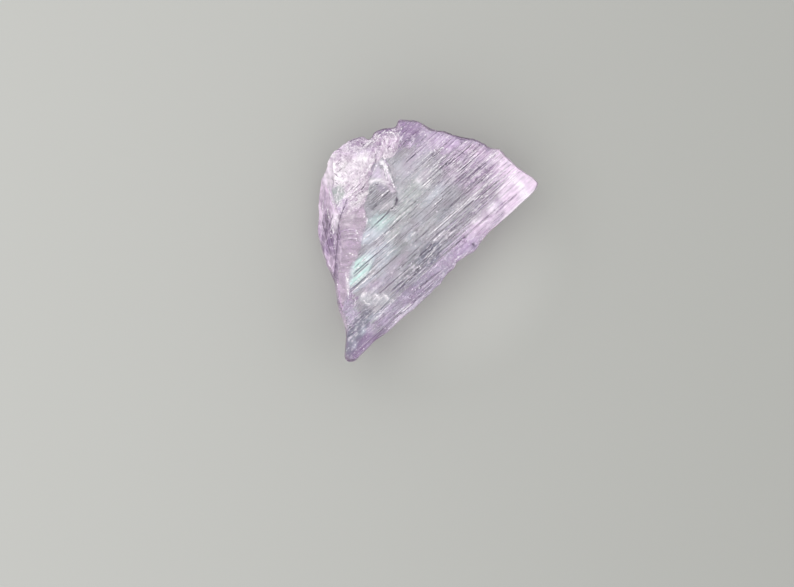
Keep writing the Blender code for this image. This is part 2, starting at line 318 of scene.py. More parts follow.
def ring_body():
    hx, hy = place(*HUB)
    around = 760
    edge = fine_outline(around)
    angle = np.arctan2(edge[:, 1] - hy, edge[:, 0] - hx)
    far = np.hypot(edge[:, 0] - hx, edge[:, 1] - hy)
    high = edge[:, 2]
    order = np.argsort(angle)
    angle, far, high = angle[order], far[order], high[order]
    keys = np.array(WALLS)
    degrees = np.degrees(angle) % 360
    degrees = np.where(degrees < WALLS[0][0], degrees + 360, degrees)
    waist, lean, bumps, prism = (np.interp(degrees, keys[:, 0], keys[:, k]) for k in (1, 2, 3, 4))
    back = reach(BACK, angle)
    spread = np.radians([-10, -5, 0, 5, 10])
    soft = sum(reach(OUTLINE, angle + d) for d in spread) / len(spread)
    broad, fine, tiny = Grain(11), Grain(12), Grain(13)
    # chips along the broken outline, only inwards, so that the box stays
    nick = np.clip(fine(angle * 26, high / MM * 0.4, 3.3), 0, 1) ** 2 * 0.10 * MM * (1 - prism)
    far = far - nick
    groove_rng = np.random.default_rng(77)
    groove_at = groove_rng.uniform(0.2, 5.2, 34)
    groove_deep = groove_rng.uniform(0.008, 0.035, 34) * MM
    groove_wide = groove_rng.uniform(0.04, 0.13, 34)
    levels = [0.0] + list(np.linspace(0.03, 1.0, 27))
    above = list(np.linspace(0.08, 1.0, 9))
    points = []
    for level in levels:
        z = high * level
        share = np.where(
            level < 0.5, level / 0.5 * waist, waist + (level - 0.5) / 0.5 * (1 - waist)
        )
        eased = soft + (far - soft) * level**1.5
        r = back + (eased - back) * share
        if 0 < level < 1:
            x, y = hx + r * np.cos(angle), hy + r * np.sin(angle)
            r = r + bumps * MM * rough_all(np.stack([x, y, z], 1), 1.6 * MM, 1)
            x, y = (hx + r * np.cos(angle)) / MM, (hy + r * np.sin(angle)) / MM
            fade = min(1.0, (1 - level) * 8, level * 12)
            around_mm = angle * 7.0
            broken = (
                0.05 * broad(x * 1.4, y * 1.4, z / MM * 1.4)
                + 0.020 * fine(x * 3.3, y * 3.3, z / MM * 3.3)
                + 0.008 * tiny(x * 8, y * 8, z / MM * 8)
                - 0.9 * scars(around_mm, z / MM, 81, 1.0, 0.30, 0.16, (-23, 23, -0.5, 5.5))
                - 0.5 * scars(around_mm, z / MM, 82, 0.45, 0.70, 0.16, (-23, 23, -0.5, 5.5))
            )
            run = z / MM + 0.05 * broad(angle * 3, 0.5, 0.5)
            grooves = sum(
                -deep * np.clip(1 - abs(run - at) / wide, 0, 1)
                for at, deep, wide in zip(groove_at, groove_deep, groove_wide)
            )
            r = r + fade * ((1 - prism) * broken * MM + prism * grooves)
        points.append(np.stack([hx + r * np.cos(angle), hy + r * np.sin(angle), z], 1))
    for level in above:
        r = far - lean * MM * level
        z = high + (BODY_TOP - high) * level
        if level < 1:
            x, y = (hx + r * np.cos(angle)) / MM, (hy + r * np.sin(angle)) / MM
            run = z / MM
            grooves = sum(
                -deep * np.clip(1 - abs(run - at) / wide, 0, 1)
                for at, deep, wide in zip(groove_at, groove_deep, groove_wide)
            )
            broken = (
                -0.02 * abs(fine(x * 2.6, y * 2.6, z / MM * 2.6))
                - 0.010 * abs(tiny(x * 7, y * 7, z / MM * 7))
                - 1.0 * level * scars(angle * 7.0, z / MM, 83, 0.8, 0.35, 0.12, (-23, 23, 0.5, 6.8))
                - 0.5 * level * scars(angle * 7.0, z / MM, 84, 0.35, 0.8, 0.16, (-23, 23, 0.5, 6.8))
            )
            r = r + (1 - prism) * broken * MM + prism * grooves
        points.append(np.stack([hx + r * np.cos(angle), hy + r * np.sin(angle), z], 1))
    rings, n = len(points), around
    faces = [tuple(range(n - 1, -1, -1)), tuple(range((rings - 1) * n, rings * n))]
    zones = [BACK_ZONE, FACE]
    for k in range(rings - 1):
        for i in range(n):
            j = (i + 1) % n
            faces.append((k * n + i, k * n + j, (k + 1) * n + j, (k + 1) * n + i))
            zones.append(PRISM if prism[i] > 0.5 else BROKEN)
    return new_object("kunzite", np.vstack(points), faces, zones)


# ---------------------------------------------------------------- the striated main face
# The striations run a little flatter than the c axis: across = at - LEAN * along.
LEAN = 0.045
# Striae that stand out in the photograph: from, to and middle in mm along and across the
# c axis, depth in mm (a ridge is negative), half width in mm.
CUTS = [
    (-5.8, -1.9, 1.89, 0.045, 0.050), (-1.8, -1.0, 1.72, 0.030, 0.040), (-5.0, -2.0, 0.78, 0.035, 0.050),
    (-6.5, -4.6, 1.22, 0.045, 0.070), (-6.1, -3.9, 1.78, 0.025, 0.060), (-2.9, -0.3, 2.52, 0.040, 0.050),
    (-2.0, 0.1, 3.45, 0.050, 0.050), (-0.95, 0.6, 0.55, 0.055, 0.040), (-0.9, 0.2, -0.66, 0.050, 0.045),
    (-0.9, 0.3, -0.42, 0.045, 0.050), (-0.95, -0.5, -1.02, 0.050, 0.050), (-2.9, -0.9, -2.15, 0.040, 0.050),
    (-3.9, -2.0, -2.03, 0.025, 0.040), (-4.0, -1.3, -2.60, 0.030, 0.045), (-3.2, -0.8, -0.10, 0.025, 0.045),
    (-4.6, -3.3, -0.83, 0.030, 0.080), (-4.2, -1.9, -1.15, 0.040, 0.060), (-3.9, -3.0, -1.45, 0.030, 0.050),
    (-6.9, -5.0, -1.22, 0.030, 0.060), (-6.6, -6.2, -1.40, 0.040, 0.040), (-1.95, -1.55, -1.00, 0.040, 0.040),
    (-2.0, -0.8, 0.10, 0.030, 0.050), (5.0, 7.1, 1.97, 0.060, 0.045), (4.6, 5.5, 1.86, 0.050, 0.045),
    (4.3, 5.6, 1.52, 0.030, 0.050), (4.9, 7.2, 1.20, 0.060, 0.050), (7.3, 8.05, 1.10, 0.050, 0.040),
    (6.1, 7.2, 2.20, 0.045, 0.040), (5.9, 7.3, 2.42, 0.035, 0.045), (5.2, 6.7, 0.44, 0.045, 0.055),
    (5.6, 6.7, 0.20, 0.040, 0.045), (4.6, 6.2, -0.13, 0.060, 0.050), (4.7, 6.7, -0.35, 0.060, 0.050),
    (6.85, 7.6, -0.25, 0.050, 0.040), (4.7, 5.4, -0.53, 0.040, 0.040), (4.2, 5.9, -0.88, 0.050, 0.050),
    (3.7, 5.0, -1.03, 0.030, 0.045), (1.8, 3.0, 1.44, 0.055, 0.045), (3.0, 4.1, 1.38, 0.030, 0.045),
    (0.0, 1.9, 2.33, 0.035, 0.050), (-0.2, 0.9, 2.05, 0.040, 0.045), (1.3, 2.0, -0.70, 0.045, 0.040),
    (2.3, 4.2, -0.62, 0.035, 0.050), (0.2, 2.8, -1.05, 0.035, 0.045), (1.1, 2.5, -1.65, 0.040, 0.045),
    (2.9, 4.3, -0.12, 0.030, 0.045), (4.1, 4.9, 3.10, 0.055, 0.060), (4.9, 5.6, 2.96, 0.050, 0.040),
    (4.9, 5.6, 2.78, 0.045, 0.035), (4.0, 5.6, 4.08, 0.060, 0.045), (4.2, 4.9, 3.72, 0.035, 0.045),
    (3.8, 5.9, 3.48, 0.045, 0.045), (2.7, 4.1, 5.15, 0.045, 0.075), (4.9, 5.3, 4.25, 0.035, 0.040),
    (4.5, 5.2, 5.52, 0.035, 0.050), (2.4, 4.2, 3.15, 0.045, 0.035), (2.4, 3.7, 2.99, 0.035, 0.030),
    (0.2, 2.3, 3.32, 0.030, 0.045), (-0.9, 0.1, 3.46, 0.045, 0.045), (-0.2, 0.5, 4.55, 0.045, 0.040),
    (1.0, 2.4, 2.66, 0.020, 0.050), (0.4, 2.4, 1.80, 0.020, 0.050), (3.2, 4.4, 2.38, 0.025, 0.045),
    (3.4, 4.6, 2.10, 0.030, 0.050), (2.2, 3.9, 0.62, 0.020, 0.050), (-3.4, -1.4, 1.02, 0.020, 0.040),
]
CRESTS = [
    (-5.85, -4.9, 2.10, -0.035, 0.055), (-4.6, -3.9, 2.22, -0.030, 0.050), (-6.3, -4.6, 1.42, -0.030, 0.050),
    (-6.6, -4.2, 1.05, -0.030, 0.060), (-2.9, -2.2, 1.25, -0.025, 0.050), (-2.9, -2.1, 2.62, -0.025, 0.045),
    (-2.0, -1.5, 2.43, -0.025, 0.050), (-2.3, -1.2, 1.88, -0.025, 0.050), (-5.0, -3.9, -2.48, -0.035, 0.050),
    (-0.6, -0.2, 1.10, -0.030, 0.060), (-0.9, -0.3, -0.87, -0.030, 0.045), (0.0, 1.4, -0.32, -0.035, 0.045),
    (2.4, 3.3, 3.08, -0.035, 0.040), (2.5, 3.3, 2.91, -0.035, 0.035), (2.6, 3.4, 2.82, -0.025, 0.030),
    (5.2, 5.6, 2.86, -0.030, 0.035), (6.0, 7.4, 2.30, -0.035, 0.040), (6.1, 7.1, 2.10, -0.035, 0.040),
    (5.0, 6.9, 2.06, -0.020, 0.035), (0.3, 4.3, 0.13, -0.040, 0.060), (3.9, 7.8, 0.02, -0.035, 0.060),
    (1.4, 2.0, -0.80, -0.040, 0.045), (4.8, 8.3, -0.47, -0.025, 0.050), (5.9, 8.3, -0.75, -0.030, 0.080),
    (4.8, 5.4, -1.32, -0.030, 0.050), (0.3, 0.9, -2.40, -0.030, 0.040), (0.3, 1.5, -2.60, -0.030, 0.035),
    (-0.2, 0.5, 4.64, -0.045, 0.045), (5.0, 5.5, 4.14, -0.030, 0.035), (4.4, 5.0, -0.24, -0.030, 0.040),
    (3.7, 4.7, -0.80, -0.025, 0.050), (1.9, 2.9, 1.54, -0.020, 0.040), (5.0, 6.4, 1.06, -0.020, 0.040),
    (7.0, 8.1, 1.22, -0.030, 0.060), (5.8, 6.8, 0.34, -0.025, 0.040), (3.3, 4.4, 3.24, -0.025, 0.035),
    (4.0, 5.2, 3.60, -0.025, 0.040), (-3.4, -2.7, 3.28, -0.020, 0.060), (-1.2, 0.6, 2.64, -0.020, 0.045),
]


def lines_at(u, v, lines):
    """How strongly each point lies on the listed striae, from 0 to 1, and their height in mm."""
    share, height = np.zeros(u.shape), np.zeros(u.shape)
    for u0, u1, at, deep, wide in lines:
        mid = (u0 + u1) / 2
        off = v - at + LEAN * (u - mid)
        near = np.clip(1 - abs(off) / wide, 0, 1)
        along = np.clip((u - u0) / 0.35, 0, 1) * np.clip((u1 - u) / 0.35, 0, 1)
        share = np.maximum(share, near * along * min(1.0, abs(deep) / 0.045))
        height -= deep * near * along
    return share, height


def striae(u, v):
    """Height of the striations on the main face, in mm, at u along and v across the c axis in mm."""
    rng = np.random.default_rng(5)
    height = np.zeros(u.shape)
    patch = Grain(21)
    vv = v + LEAN * u + 0.010 * patch(u * 0.35, v * 0.8, 1.7)
    # fine growth lines everywhere, stronger on the right and fainter in the middle
    lines = 430
    at = rng.uniform(-4.6, 9.2, lines)
    middle = rng.uniform(-11, 10, lines)
    half = rng.gamma(2.2, 1.1, lines) + 0.4
    deep = rng.gamma(2.0, 0.0085, lines) * rng.choice([-1, 1, 1], lines)
    wide = rng.uniform(0.03, 0.09, lines)
    for k in range(lines):
        near = np.clip(1 - abs(vv - at[k]) / wide[k], 0, 1)
        along = np.clip((half[k] - abs(u - middle[k])) / 0.5, 0, 1)
        height -= deep[k] * near * along
    height *= 0.75 + 0.55 * np.clip((u - 1.0) / 5.0, 0, 1)
    # smoother at the right tip
    height *= 1 - 0.75 * np.clip((u - 6.9) / 0.8, 0, 1)
    height += lines_at(u, v, CUTS)[1] + lines_at(u, v, CRESTS)[1]
    # low swells and small pits between the lines
    height += 0.012 * patch(u * 0.5, v * 2.2, 4.1) + 0.004 * patch(u * 2.6, v * 6.5, 9.2)
    pit = patch(u * 3.1, v * 4.4, 7.7)
    height -= 0.020 * np.clip(pit - 0.62, 0, 1) / 0.38
    return height


def main_face_cutter():
    across = np.arange(-4.25, 8.75, 0.036)
    along = np.arange(-11.6, 10.4, 0.22)
    u, v = np.meshgrid(along, across, indexing="ij")
    x, y = from_c(u * MM, v * MM)
    flat = np.stack([x.ravel(), y.ravel(), 0 * x.ravel()], 1)
    bend = 0.03 * MM * rough_all(flat, 5.0 * MM, 2).reshape(x.shape)
    z = main_face(x, y) + terrace(v * MM) + bend + striae(u, v) * MM
    points = np.stack([x.ravel(), y.ravel(), z.ravel()], 1)
    return grid_box("main_face", points, len(along), len(across), (0, 0, 4 * MM), FACE)


# ---------------------------------------------------------------- the breaks
def plane_axes(through):
    a, b, c = (Vector((*place(px, py), z * MM)) for px, py, z in through)
    normal = (b - a).cross(c - a).normalized()
    if normal.z < 0:
        normal.negate()
    side = Vector((0, 0, 1)).cross(normal).normalized()
    return (a + b + c) / 3, side, normal.cross(side), normal


def plane_cutter(name, through, seed, bumps, window, cell, zone, detail):
    """Everything above a fracture plane; window is (side low, high, slope low, high) in mm round its middle."""
    middle, side, slope, normal = plane_axes(through)
    s = np.arange(window[0], window[1] + cell, cell)
    t = np.arange(window[2], window[3] + cell, cell)
    ss, tt = np.meshgrid(s, t, indexing="ij")
    flat = (
        np.array(middle)
        + ss.ravel()[:, None] * MM * np.array(side)
        + tt.ravel()[:, None] * MM * np.array(slope)
    )
    lift = bumps * MM * rough_all(flat, 1.7 * MM, seed)
    x, y, z = (flat[:, k] / MM for k in range(3))
    lift = lift + detail(ss.ravel(), tt.ravel(), x, y, z) * MM
    points = flat + lift[:, None] * np.array(normal)
    return grid_box(name, points, len(s), len(t), np.array(normal) * 9 * MM, zone)


def step_cutter(name, corners, slant=0.12):
    """A sunk patch of the main face, striated like it, with its wall leaning outwards."""
    cx = sum(p[0] for p in corners) / len(corners)
    cy = sum(p[1] for p in corners) / len(corners)
    rings, points, n = 26, [], len(corners) * 8
    edge = []
    for k, (a, b) in enumerate(zip(corners, corners[1:] + corners[:1])):
        for t in np.linspace(0, 1, 8, endpoint=False):
            edge.append([a[i] + (b[i] - a[i]) * t for i in range(3)])
    edge = np.array(edge)
    jag = Grain(31)
    turn = np.arange(n) / n * 2 * math.pi
    edge[:, 0] += 0.6 * jag(np.cos(turn) * 4, np.sin(turn) * 4, 0.3)
    edge[:, 1] += 0.6 * jag(np.cos(turn) * 4, np.sin(turn) * 4, 5.3)
    depth = sum(p[2] for p in corners) / len(corners)
    levels = [k / (rings - 1) for k in range(1, rings)]
    for level in levels:
        px = cx + (edge[:, 0] - cx) * level
        py = cy + (edge[:, 1] - cy) * level
        x, y = place(px, py)
        d = depth + (edge[:, 2] - depth) * level
        u, v = along_c(x, y)
        z = main_face(x, y) - d * MM + 0.8 * striae(u / MM, v / MM) * MM
        points.append(np.stack([x, y, z], 1))
    for level in (0.5, 1.0):
        out = 1 + slant * (1.2 + edge[:, 2]) / edge[:, 2] * level
        x, y = place(cx + (edge[:, 0] - cx) * out, cy + (edge[:, 1] - cy) * out)
        x0, y0 = place(edge[:, 0], edge[:, 1])
        z = (main_face(x0, y0) - edge[:, 2] * MM) * (1 - level) + (main_face(x, y) + 1.2 * MM) * level
        points.append(np.stack([x, y, z], 1))
    x, y = place(cx, cy)
    u, v = along_c(x, y)
    middle = [x, y, main_face(x, y) - depth * MM]
    everything = np.vstack(points + [np.array([middle])])
    total = len(points)
    faces = [tuple(range((total - 1) * n, total * n))]
    for k in range(total - 1):
        for i in range(n):
            j = (i + 1) % n
            faces.append((k * n + i, k * n + j, (k + 1) * n + j, (k + 1) * n + i))
    for i in range(n):
        faces.append((total * n, i, (i + 1) % n))
    return new_object(name, everything, faces, even=STEP)


def shell_cutter(name, px, py, above, rx, ry, rz, turn, uneven, seed):
    """An uneven ellipsoid, which leaves a shell-shaped hollow with ripples."""
    solid = bmesh.new()
    bmesh.ops.create_icosphere(solid, subdivisions=7 if rx > 2 else 5, radius=1.0)
    d = np.array([v.co for v in solid.verts])
    faces = [tuple(v.index for v in f.verts) for f in solid.faces]
    solid.free()
    d /= np.linalg.norm(d, axis=1, keepdims=True)
    x, y = place(px, py)
    middle = np.array([x, y, main_face(x, y) + above * MM])
    c, s = math.cos(math.radians(turn)), math.sin(math.radians(turn))
    k = 1 + uneven * rough_all(d, 0.55, seed)
    p = d * np.array([rx, ry, rz]) * k[:, None]
    p = np.stack([p[:, 0] * c - p[:, 1] * s, p[:, 0] * s + p[:, 1] * c, p[:, 2]], 1)
    if rx > 2:
        deep = p[:, 2] < 0
        gx, gy = p[:, 0] + middle[0] / MM, p[:, 1] + middle[1] / MM
        lift = shoulder_detail(gx, gy, gx, gy, p[:, 2] + middle[2] / MM)
        p = p + np.where(deep, lift, 0)[:, None] * -d
    else:
        g = Grain(40 + seed)
        p *= (1 + 0.035 * g(d[:, 0] * 3.5, d[:, 1] * 3.5, d[:, 2] * 3.5))[:, None]
    made = new_object(name, middle + p * MM, faces, even=SHOULDER_ZONE if rx > 2 else CHIP)
    return made


fine_grain, rib_grain = Grain(51), Grain(52)


def ribs(x, y, cx, cy, wave, height, reach_mm, seed):
    """Ripples in arcs round a point, as in a shell-shaped break. All in mm."""
    r = np.hypot(x - cx, y - cy) + 0.22 * rib_grain(x * 1.9, y * 2.6, seed)
    fade = np.clip(1 - r / reach_mm, 0, 1)
    return height * fade * (1 - abs(2 * ((r / wave) % 1) - 1)) ** 1.5


def strip_detail(s, t, x, y, z):
    cx, cy = (v / MM for v in place(347, 247))
    lift = ribs(x, y, cx, cy, 0.23, 0.014, 2.6, 1.1)
    lift = lift + 0.016 * rib_grain(x * 1.6, y * 0.9, 3.3) + 0.006 * fine_grain(x * 6, y * 6, 1.1)
    # splinters along the ridge next to the main face
    px, py = place(348, 288)
    near = np.exp(-(((x - px / MM) / 0.22) ** 2)) * (y < cy - 0.8)
    return lift + 0.05 * near * abs(fine_grain(x * 5, y * 4.2, 6.6))


def flank_detail(s, t, x, y, z):
    low = scars(x, y * 0.42, 61, 0.55, 0.55, 0.22, (-8.6, -5.2, -3.5, 3.5))
    # towards the bottom end the flank dies out under the strip
    end = 0.30 * np.clip((-1.2 - y) / 2.0, 0, 1)
    return low * 0.8 + 0.012 * fine_grain(x * 6, y * 3, z * 6) - 0.04 + end


def shoulder_detail(s, t, x, y, z):
    low = scars(x, y, 62, 0.80, 0.50, 0.16, (-8.6, -1.8, 1.2, 8.4))
    small = scars(x, y, 63, 0.38, 0.9, 0.16, (-8.6, -1.8, 1.2, 8.4))
    return low * 0.75 + small * 0.40 + 0.004 * fine_grain(x * 7, y * 7, z * 7) - 0.06


# ---------------------------------------------------------------- build the crystal
zone_marks = [bpy.data.materials.new(f"zone_{k}") for k in range(9)]

crystal = ring_body()
counts = [len(crystal.data.polygons)]
counts.append(subtract(crystal, main_face_cutter()))
counts.append(
    subtract(
        crystal,
        plane_cutter(
            "shoulder_break", SHOULDER, 5, 0.13, (-6.5, 5.5, -4.5, 4.5), 0.07, SHOULDER_ZONE,
            shoulder_detail,
        ),
    )
)
counts.append(
    subtract(
        crystal,
        plane_cutter(
            "strip_break", STRIP, 3, 0.05, (-9.5, 9.5, -4.5, 4.5), 0.09, STRIP_ZONE, strip_detail
        ),
    )
)
counts.append(
    subtract(
        crystal,
        plane_cutter(
            "flank_break", FLANK, 4, 0.10, (-9.5, 9.5, -4.5, 4.5), 0.09, FLANK_ZONE, flank_detail
        ),
    )
)
counts.append(subtract(crystal, step_cutter("triangle_step", TRIANGLE)))
counts.append(subtract(crystal, step_cutter("window_step", WINDOW)))
for shell in SHELLS:
    counts.append(subtract(crystal, shell_cutter(*shell)))
print("faces after each step", counts)

mesh = crystal.data
zone = np.zeros(len(mesh.polygons), np.int32)
mesh.polygons.foreach_get("material_index", zone)
print("zones", np.bincount(zone, minlength=9))
solid = bmesh.new()
solid.from_mesh(mesh)
bmesh.ops.dissolve_degenerate(solid, edges=solid.edges, dist=2e-7)
print("open edges", sum(1 for e in solid.edges if len(e.link_faces) != 2), "triangles", sum(len(f.verts) - 2 for f in solid.faces))
solid.to_mesh(mesh)
solid.free()
zone = np.zeros(len(mesh.polygons), np.int32)
mesh.polygons.foreach_get("material_index", zone)
mark = mesh.attributes.new("zone", "FLOAT", "FACE")
mark.data.foreach_set("value", zone.astype(np.float32))
mesh.polygons.foreach_set("material_index", np.zeros(len(mesh.polygons), np.int32))
mesh.materials.clear()
mesh.shade_smooth()
mesh.set_sharp_from_angle(angle=math.radians(24))


# ---------------------------------------------------------------- materials
class Tree:
    """Short calls for building a node tree."""

    def __init__(self, owner):
        owner.use_nodes = True
        self.tree = owner.node_tree

    def node(self, kind, inputs=None, **values):
        made = self.tree.nodes.new(kind)
        for name, value in values.items():
            setattr(made, name, value)
        for name, value in (inputs or {}).items():
            self.feed(made.inputs[name], value)
        return made

    def feed(self, socket, value):
        if isinstance(value, bpy.types.NodeSocket):
            self.tree.links.new(value, socket)
        else:
            socket.default_value = value

    def math(self, operation, a, b=0.0, c=0.0, clamp=False):
        made = self.tree.nodes.new("ShaderNodeMath")
        made.operation = operation
        made.use_clamp = clamp
        for socket, value in zip(made.inputs, (a, b, c)):
            self.feed(socket, value)
        return made.outputs[0]

    def ease(self, value, low, high, to_low=0.0, to_high=1.0):
        made = self.node(
            "ShaderNodeMapRange",
            {"Value": value, "From Min": low, "From Max": high, "To Min": to_low, "To Max": to_high},
            interpolation_type="SMOOTHSTEP",
        )
        return made.outputs["Result"]

    def mix(self, share, a, b):
        made = self.tree.nodes.new("ShaderNodeMix")
        made.data_type = "RGBA"
        self.feed(made.inputs["Factor"], share)
        for socket, value in ((made.inputs[6], a), (made.inputs[7], b)):
            self.feed(socket, value if isinstance(value, bpy.types.NodeSocket) else (*value, 1))
        return made.outputs[2]

    def attribute(self, name):
        return self.node("ShaderNodeAttribute", attribute_name=name).outputs["Fac"]

    def noise(self, vector, scale, detail=2.0, roughness=0.5, distortion=0.0):
        made = self.node(
            "ShaderNodeTexNoise",
            {
                "Vector": vector, "Scale": scale, "Detail": detail, "Roughness": roughness,
                "Distortion": distortion,
            },
        )
        return made.outputs[0]

    def place(self):
        return self.node("ShaderNodeTexCoord").outputs["Object"]

    def along(self, u_scale, v_scale):
        """Coordinates along and across the c axis, in features per metre."""
        turned = self.node(
            "ShaderNodeVectorRotate",
            {"Vector": self.place(), "Angle": -math.radians(C_AXIS_DEG)},
            rotation_type="Z_AXIS",
        )
        return self.node(
            "ShaderNodeVectorMath",
            {0: turned.outputs[0], 1: (u_scale, v_scale, u_scale)},
            operation="MULTIPLY",
        ).outputs[0]


def crystal_material():
    made = bpy.data.materials.new("lilac_kunzite")
    t = Tree(made)
    shader = t.tree.nodes["Principled BSDF"]
    out = t.tree.nodes["Material Output"]
    shader.inputs["Transmission Weight"].default_value = 1.0
    shader.inputs["IOR"].default_value = 1.66
    shader.inputs["Base Color"].default_value = (1.0, 0.985, 1.0, 1)
    absorb = t.node("ShaderNodeVolumeAbsorption")
    absorb.inputs["Color"].default_value = (0.80, 0.50, 0.86, 1)
    absorb.inputs["Density"].default_value = 52.0
    t.feed(out.inputs["Volume"], absorb.outputs[0])
    # how frosted each zone is
    dull = {
        BACK_ZONE: 0.05, PRISM: 0.05, BROKEN: 0.08, FACE: 0.03, STRIP_ZONE: 0.07, FLANK_ZONE: 0.09,
        SHOULDER_ZONE: 0.13, STEP: 0.04, CHIP: 0.11,
    }
    ramp = t.tree.nodes.new("ShaderNodeValToRGB")
    ramp.color_ramp.interpolation = "CONSTANT"
    for k in range(9):
        element = ramp.color_ramp.elements[k] if k < 2 else ramp.color_ramp.elements.new(k / 9)
        element.position = k / 9
        element.color = (dull[k], dull[k], dull[k], 1)
    t.feed(ramp.inputs[0], t.math("MULTIPLY_ADD", t.attribute("zone"), 1 / 9, 0.05))
    patches = t.noise(t.place(), 900.0, 3.0)
    t.feed(shader.inputs["Roughness"], t.math("MULTIPLY_ADD", patches, 0.06, ramp.outputs[0]))
    bump = t.node(
        "ShaderNodeBump",
        {"Strength": 0.10, "Distance": 0.00004, "Height": t.noise(t.place(), 6500.0)},
    )
    t.feed(shader.inputs["Normal"], bump.outputs[0])
    return made


# ---------------------------------------------------------------- the skin of the crystal, with tints, painted highlights and painted shade
def skin(name, zones, height, material):
    """The skin over some zones of the surface: growth lines, tiny cleavage cracks and dull breaks, with painted
    highlights and painted shade.
    """
    source = bmesh.new()
    source.from_mesh(crystal.data)
    layer = source.faces.layers.float["zone"]
    source.normal_update()
    normals = {v.index: v.normal.copy() for v in source.verts}
    for v in source.verts:
        v.co += normals[v.index] * height * MM
    gone = [f for f in source.faces if int(round(f[layer])) not in zones]
    bmesh.ops.delete(source, geom=gone, context="FACES")
    mesh = bpy.data.meshes.new(name)
    source.to_mesh(mesh)
    source.free()
    mesh.materials.clear()
    mesh.materials.append(material)
    mesh.polygons.foreach_set("material_index", np.zeros(len(mesh.polygons), np.int32))
    made = bpy.data.objects.new(name, mesh)
    bpy.context.scene.collection.objects.link(made)
    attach(made, "root")
    return made


def blots(u, v, patches):
    """Soft patches along the c axis: middle, half length and half width in mm, strength."""
    total = np.zeros(u.shape)
    for at_u, at_v, long, wide, strength in patches:
        du, dv = u - at_u, v - at_v + LEAN * (u - at_u)
        total += strength * np.exp(-((abs(du) / long) ** 2.6) - (abs(dv) / wide) ** 2.6)
    return total


def spots(x, y, patches):
    """Soft patches in picture units: middle, half length, half width, turn in degrees, strength."""
    total = np.zeros(x.shape)
    px, py = x / PX + MID[0], MID[1] - y / PX
    for ax, ay, long, wide, turn, strength in patches:
        c, s = math.cos(math.radians(turn)), math.sin(math.radians(turn))
        dx, dy = px - ax, ay - py
        du, dv = dx * c + dy * s, -dx * s + dy * c
        total += strength * np.exp(-((abs(du) / long) ** 2.6) - (abs(dv) / wide) ** 2.6)
    return total


def bands(x, y, paths):
    """Soft bands in picture units: half width, strength, then the points of the path."""
    total = np.zeros(x.shape)
    px, py = x / PX + MID[0], MID[1] - y / PX
    for half, strength, *path in paths:
        far = np.full(x.shape, np.inf)
        for (ax, ay), (bx, by) in zip(path, path[1:]):
            dx, dy = bx - ax, by - ay
            t = np.clip(((px - ax) * dx + (py - ay) * dy) / (dx * dx + dy * dy), 0, 1)
            far = np.minimum(far, np.hypot(px - ax - t * dx, py - ay - t * dy))
        total = np.maximum(total, strength * np.exp(-((far / half) ** 2.4)))
    return total


# How strongly the fine growth lines show.
LIVELY = [
    (5.6, 2.50, 1.9, 1.20, 1.0), (6.3, 0.90, 1.8, 1.10, 1.0), (5.8, -0.40, 1.8, 0.80, 0.8),
    (-4.2, 1.80, 2.2, 0.70, 0.7), (0.3, -0.70, 2.2, 0.70, 0.7), (4.8, 4.10, 1.2, 1.00, 0.6),
    (-3.2, -0.90, 2.6, 0.70, 0.5), (0.0, 2.90, 1.6, 0.60, 0.4), (-0.6, 1.60, 1.8, 0.50, 0.4),
    (6.6, -1.70, 1.6, 0.70, 0.15), (-3.4, -2.20, 2.4, 0.60, 0.45), (3.2, 0.40, 1.6, 0.50, 0.35),
    (2.4, -0.60, 1.8, 0.70, 0.25), (3.8, 5.60, 1.2, 0.70, 0.2), (-6.6, -0.90, 1.4, 0.70, 0.4),
]
# Tints of the skin.
TINTS = {
    "mint": (0.62, 0.90, 0.84), "ice": (0.74, 0.80, 0.90), "sage": (0.46, 0.51, 0.48),
    "moss": (0.19, 0.23, 0.21), "stone": (0.32, 0.36, 0.35), "pearl": (0.98, 0.92, 0.98), "cream": (0.95, 0.87, 0.93),
    "blush": (0.78, 0.62, 0.78), "rose": (0.72, 0.52, 0.73), "haze": (0.62, 0.53, 0.66),
    "lilac": (0.46, 0.33, 0.54), "purple": (0.17, 0.10, 0.21), "slate": (0.13, 0.13, 0.18),
    "ash": (0.22, 0.215, 0.24), "fog": (0.56, 0.57, 0.60), "ink": (0.035, 0.03, 0.045),
}
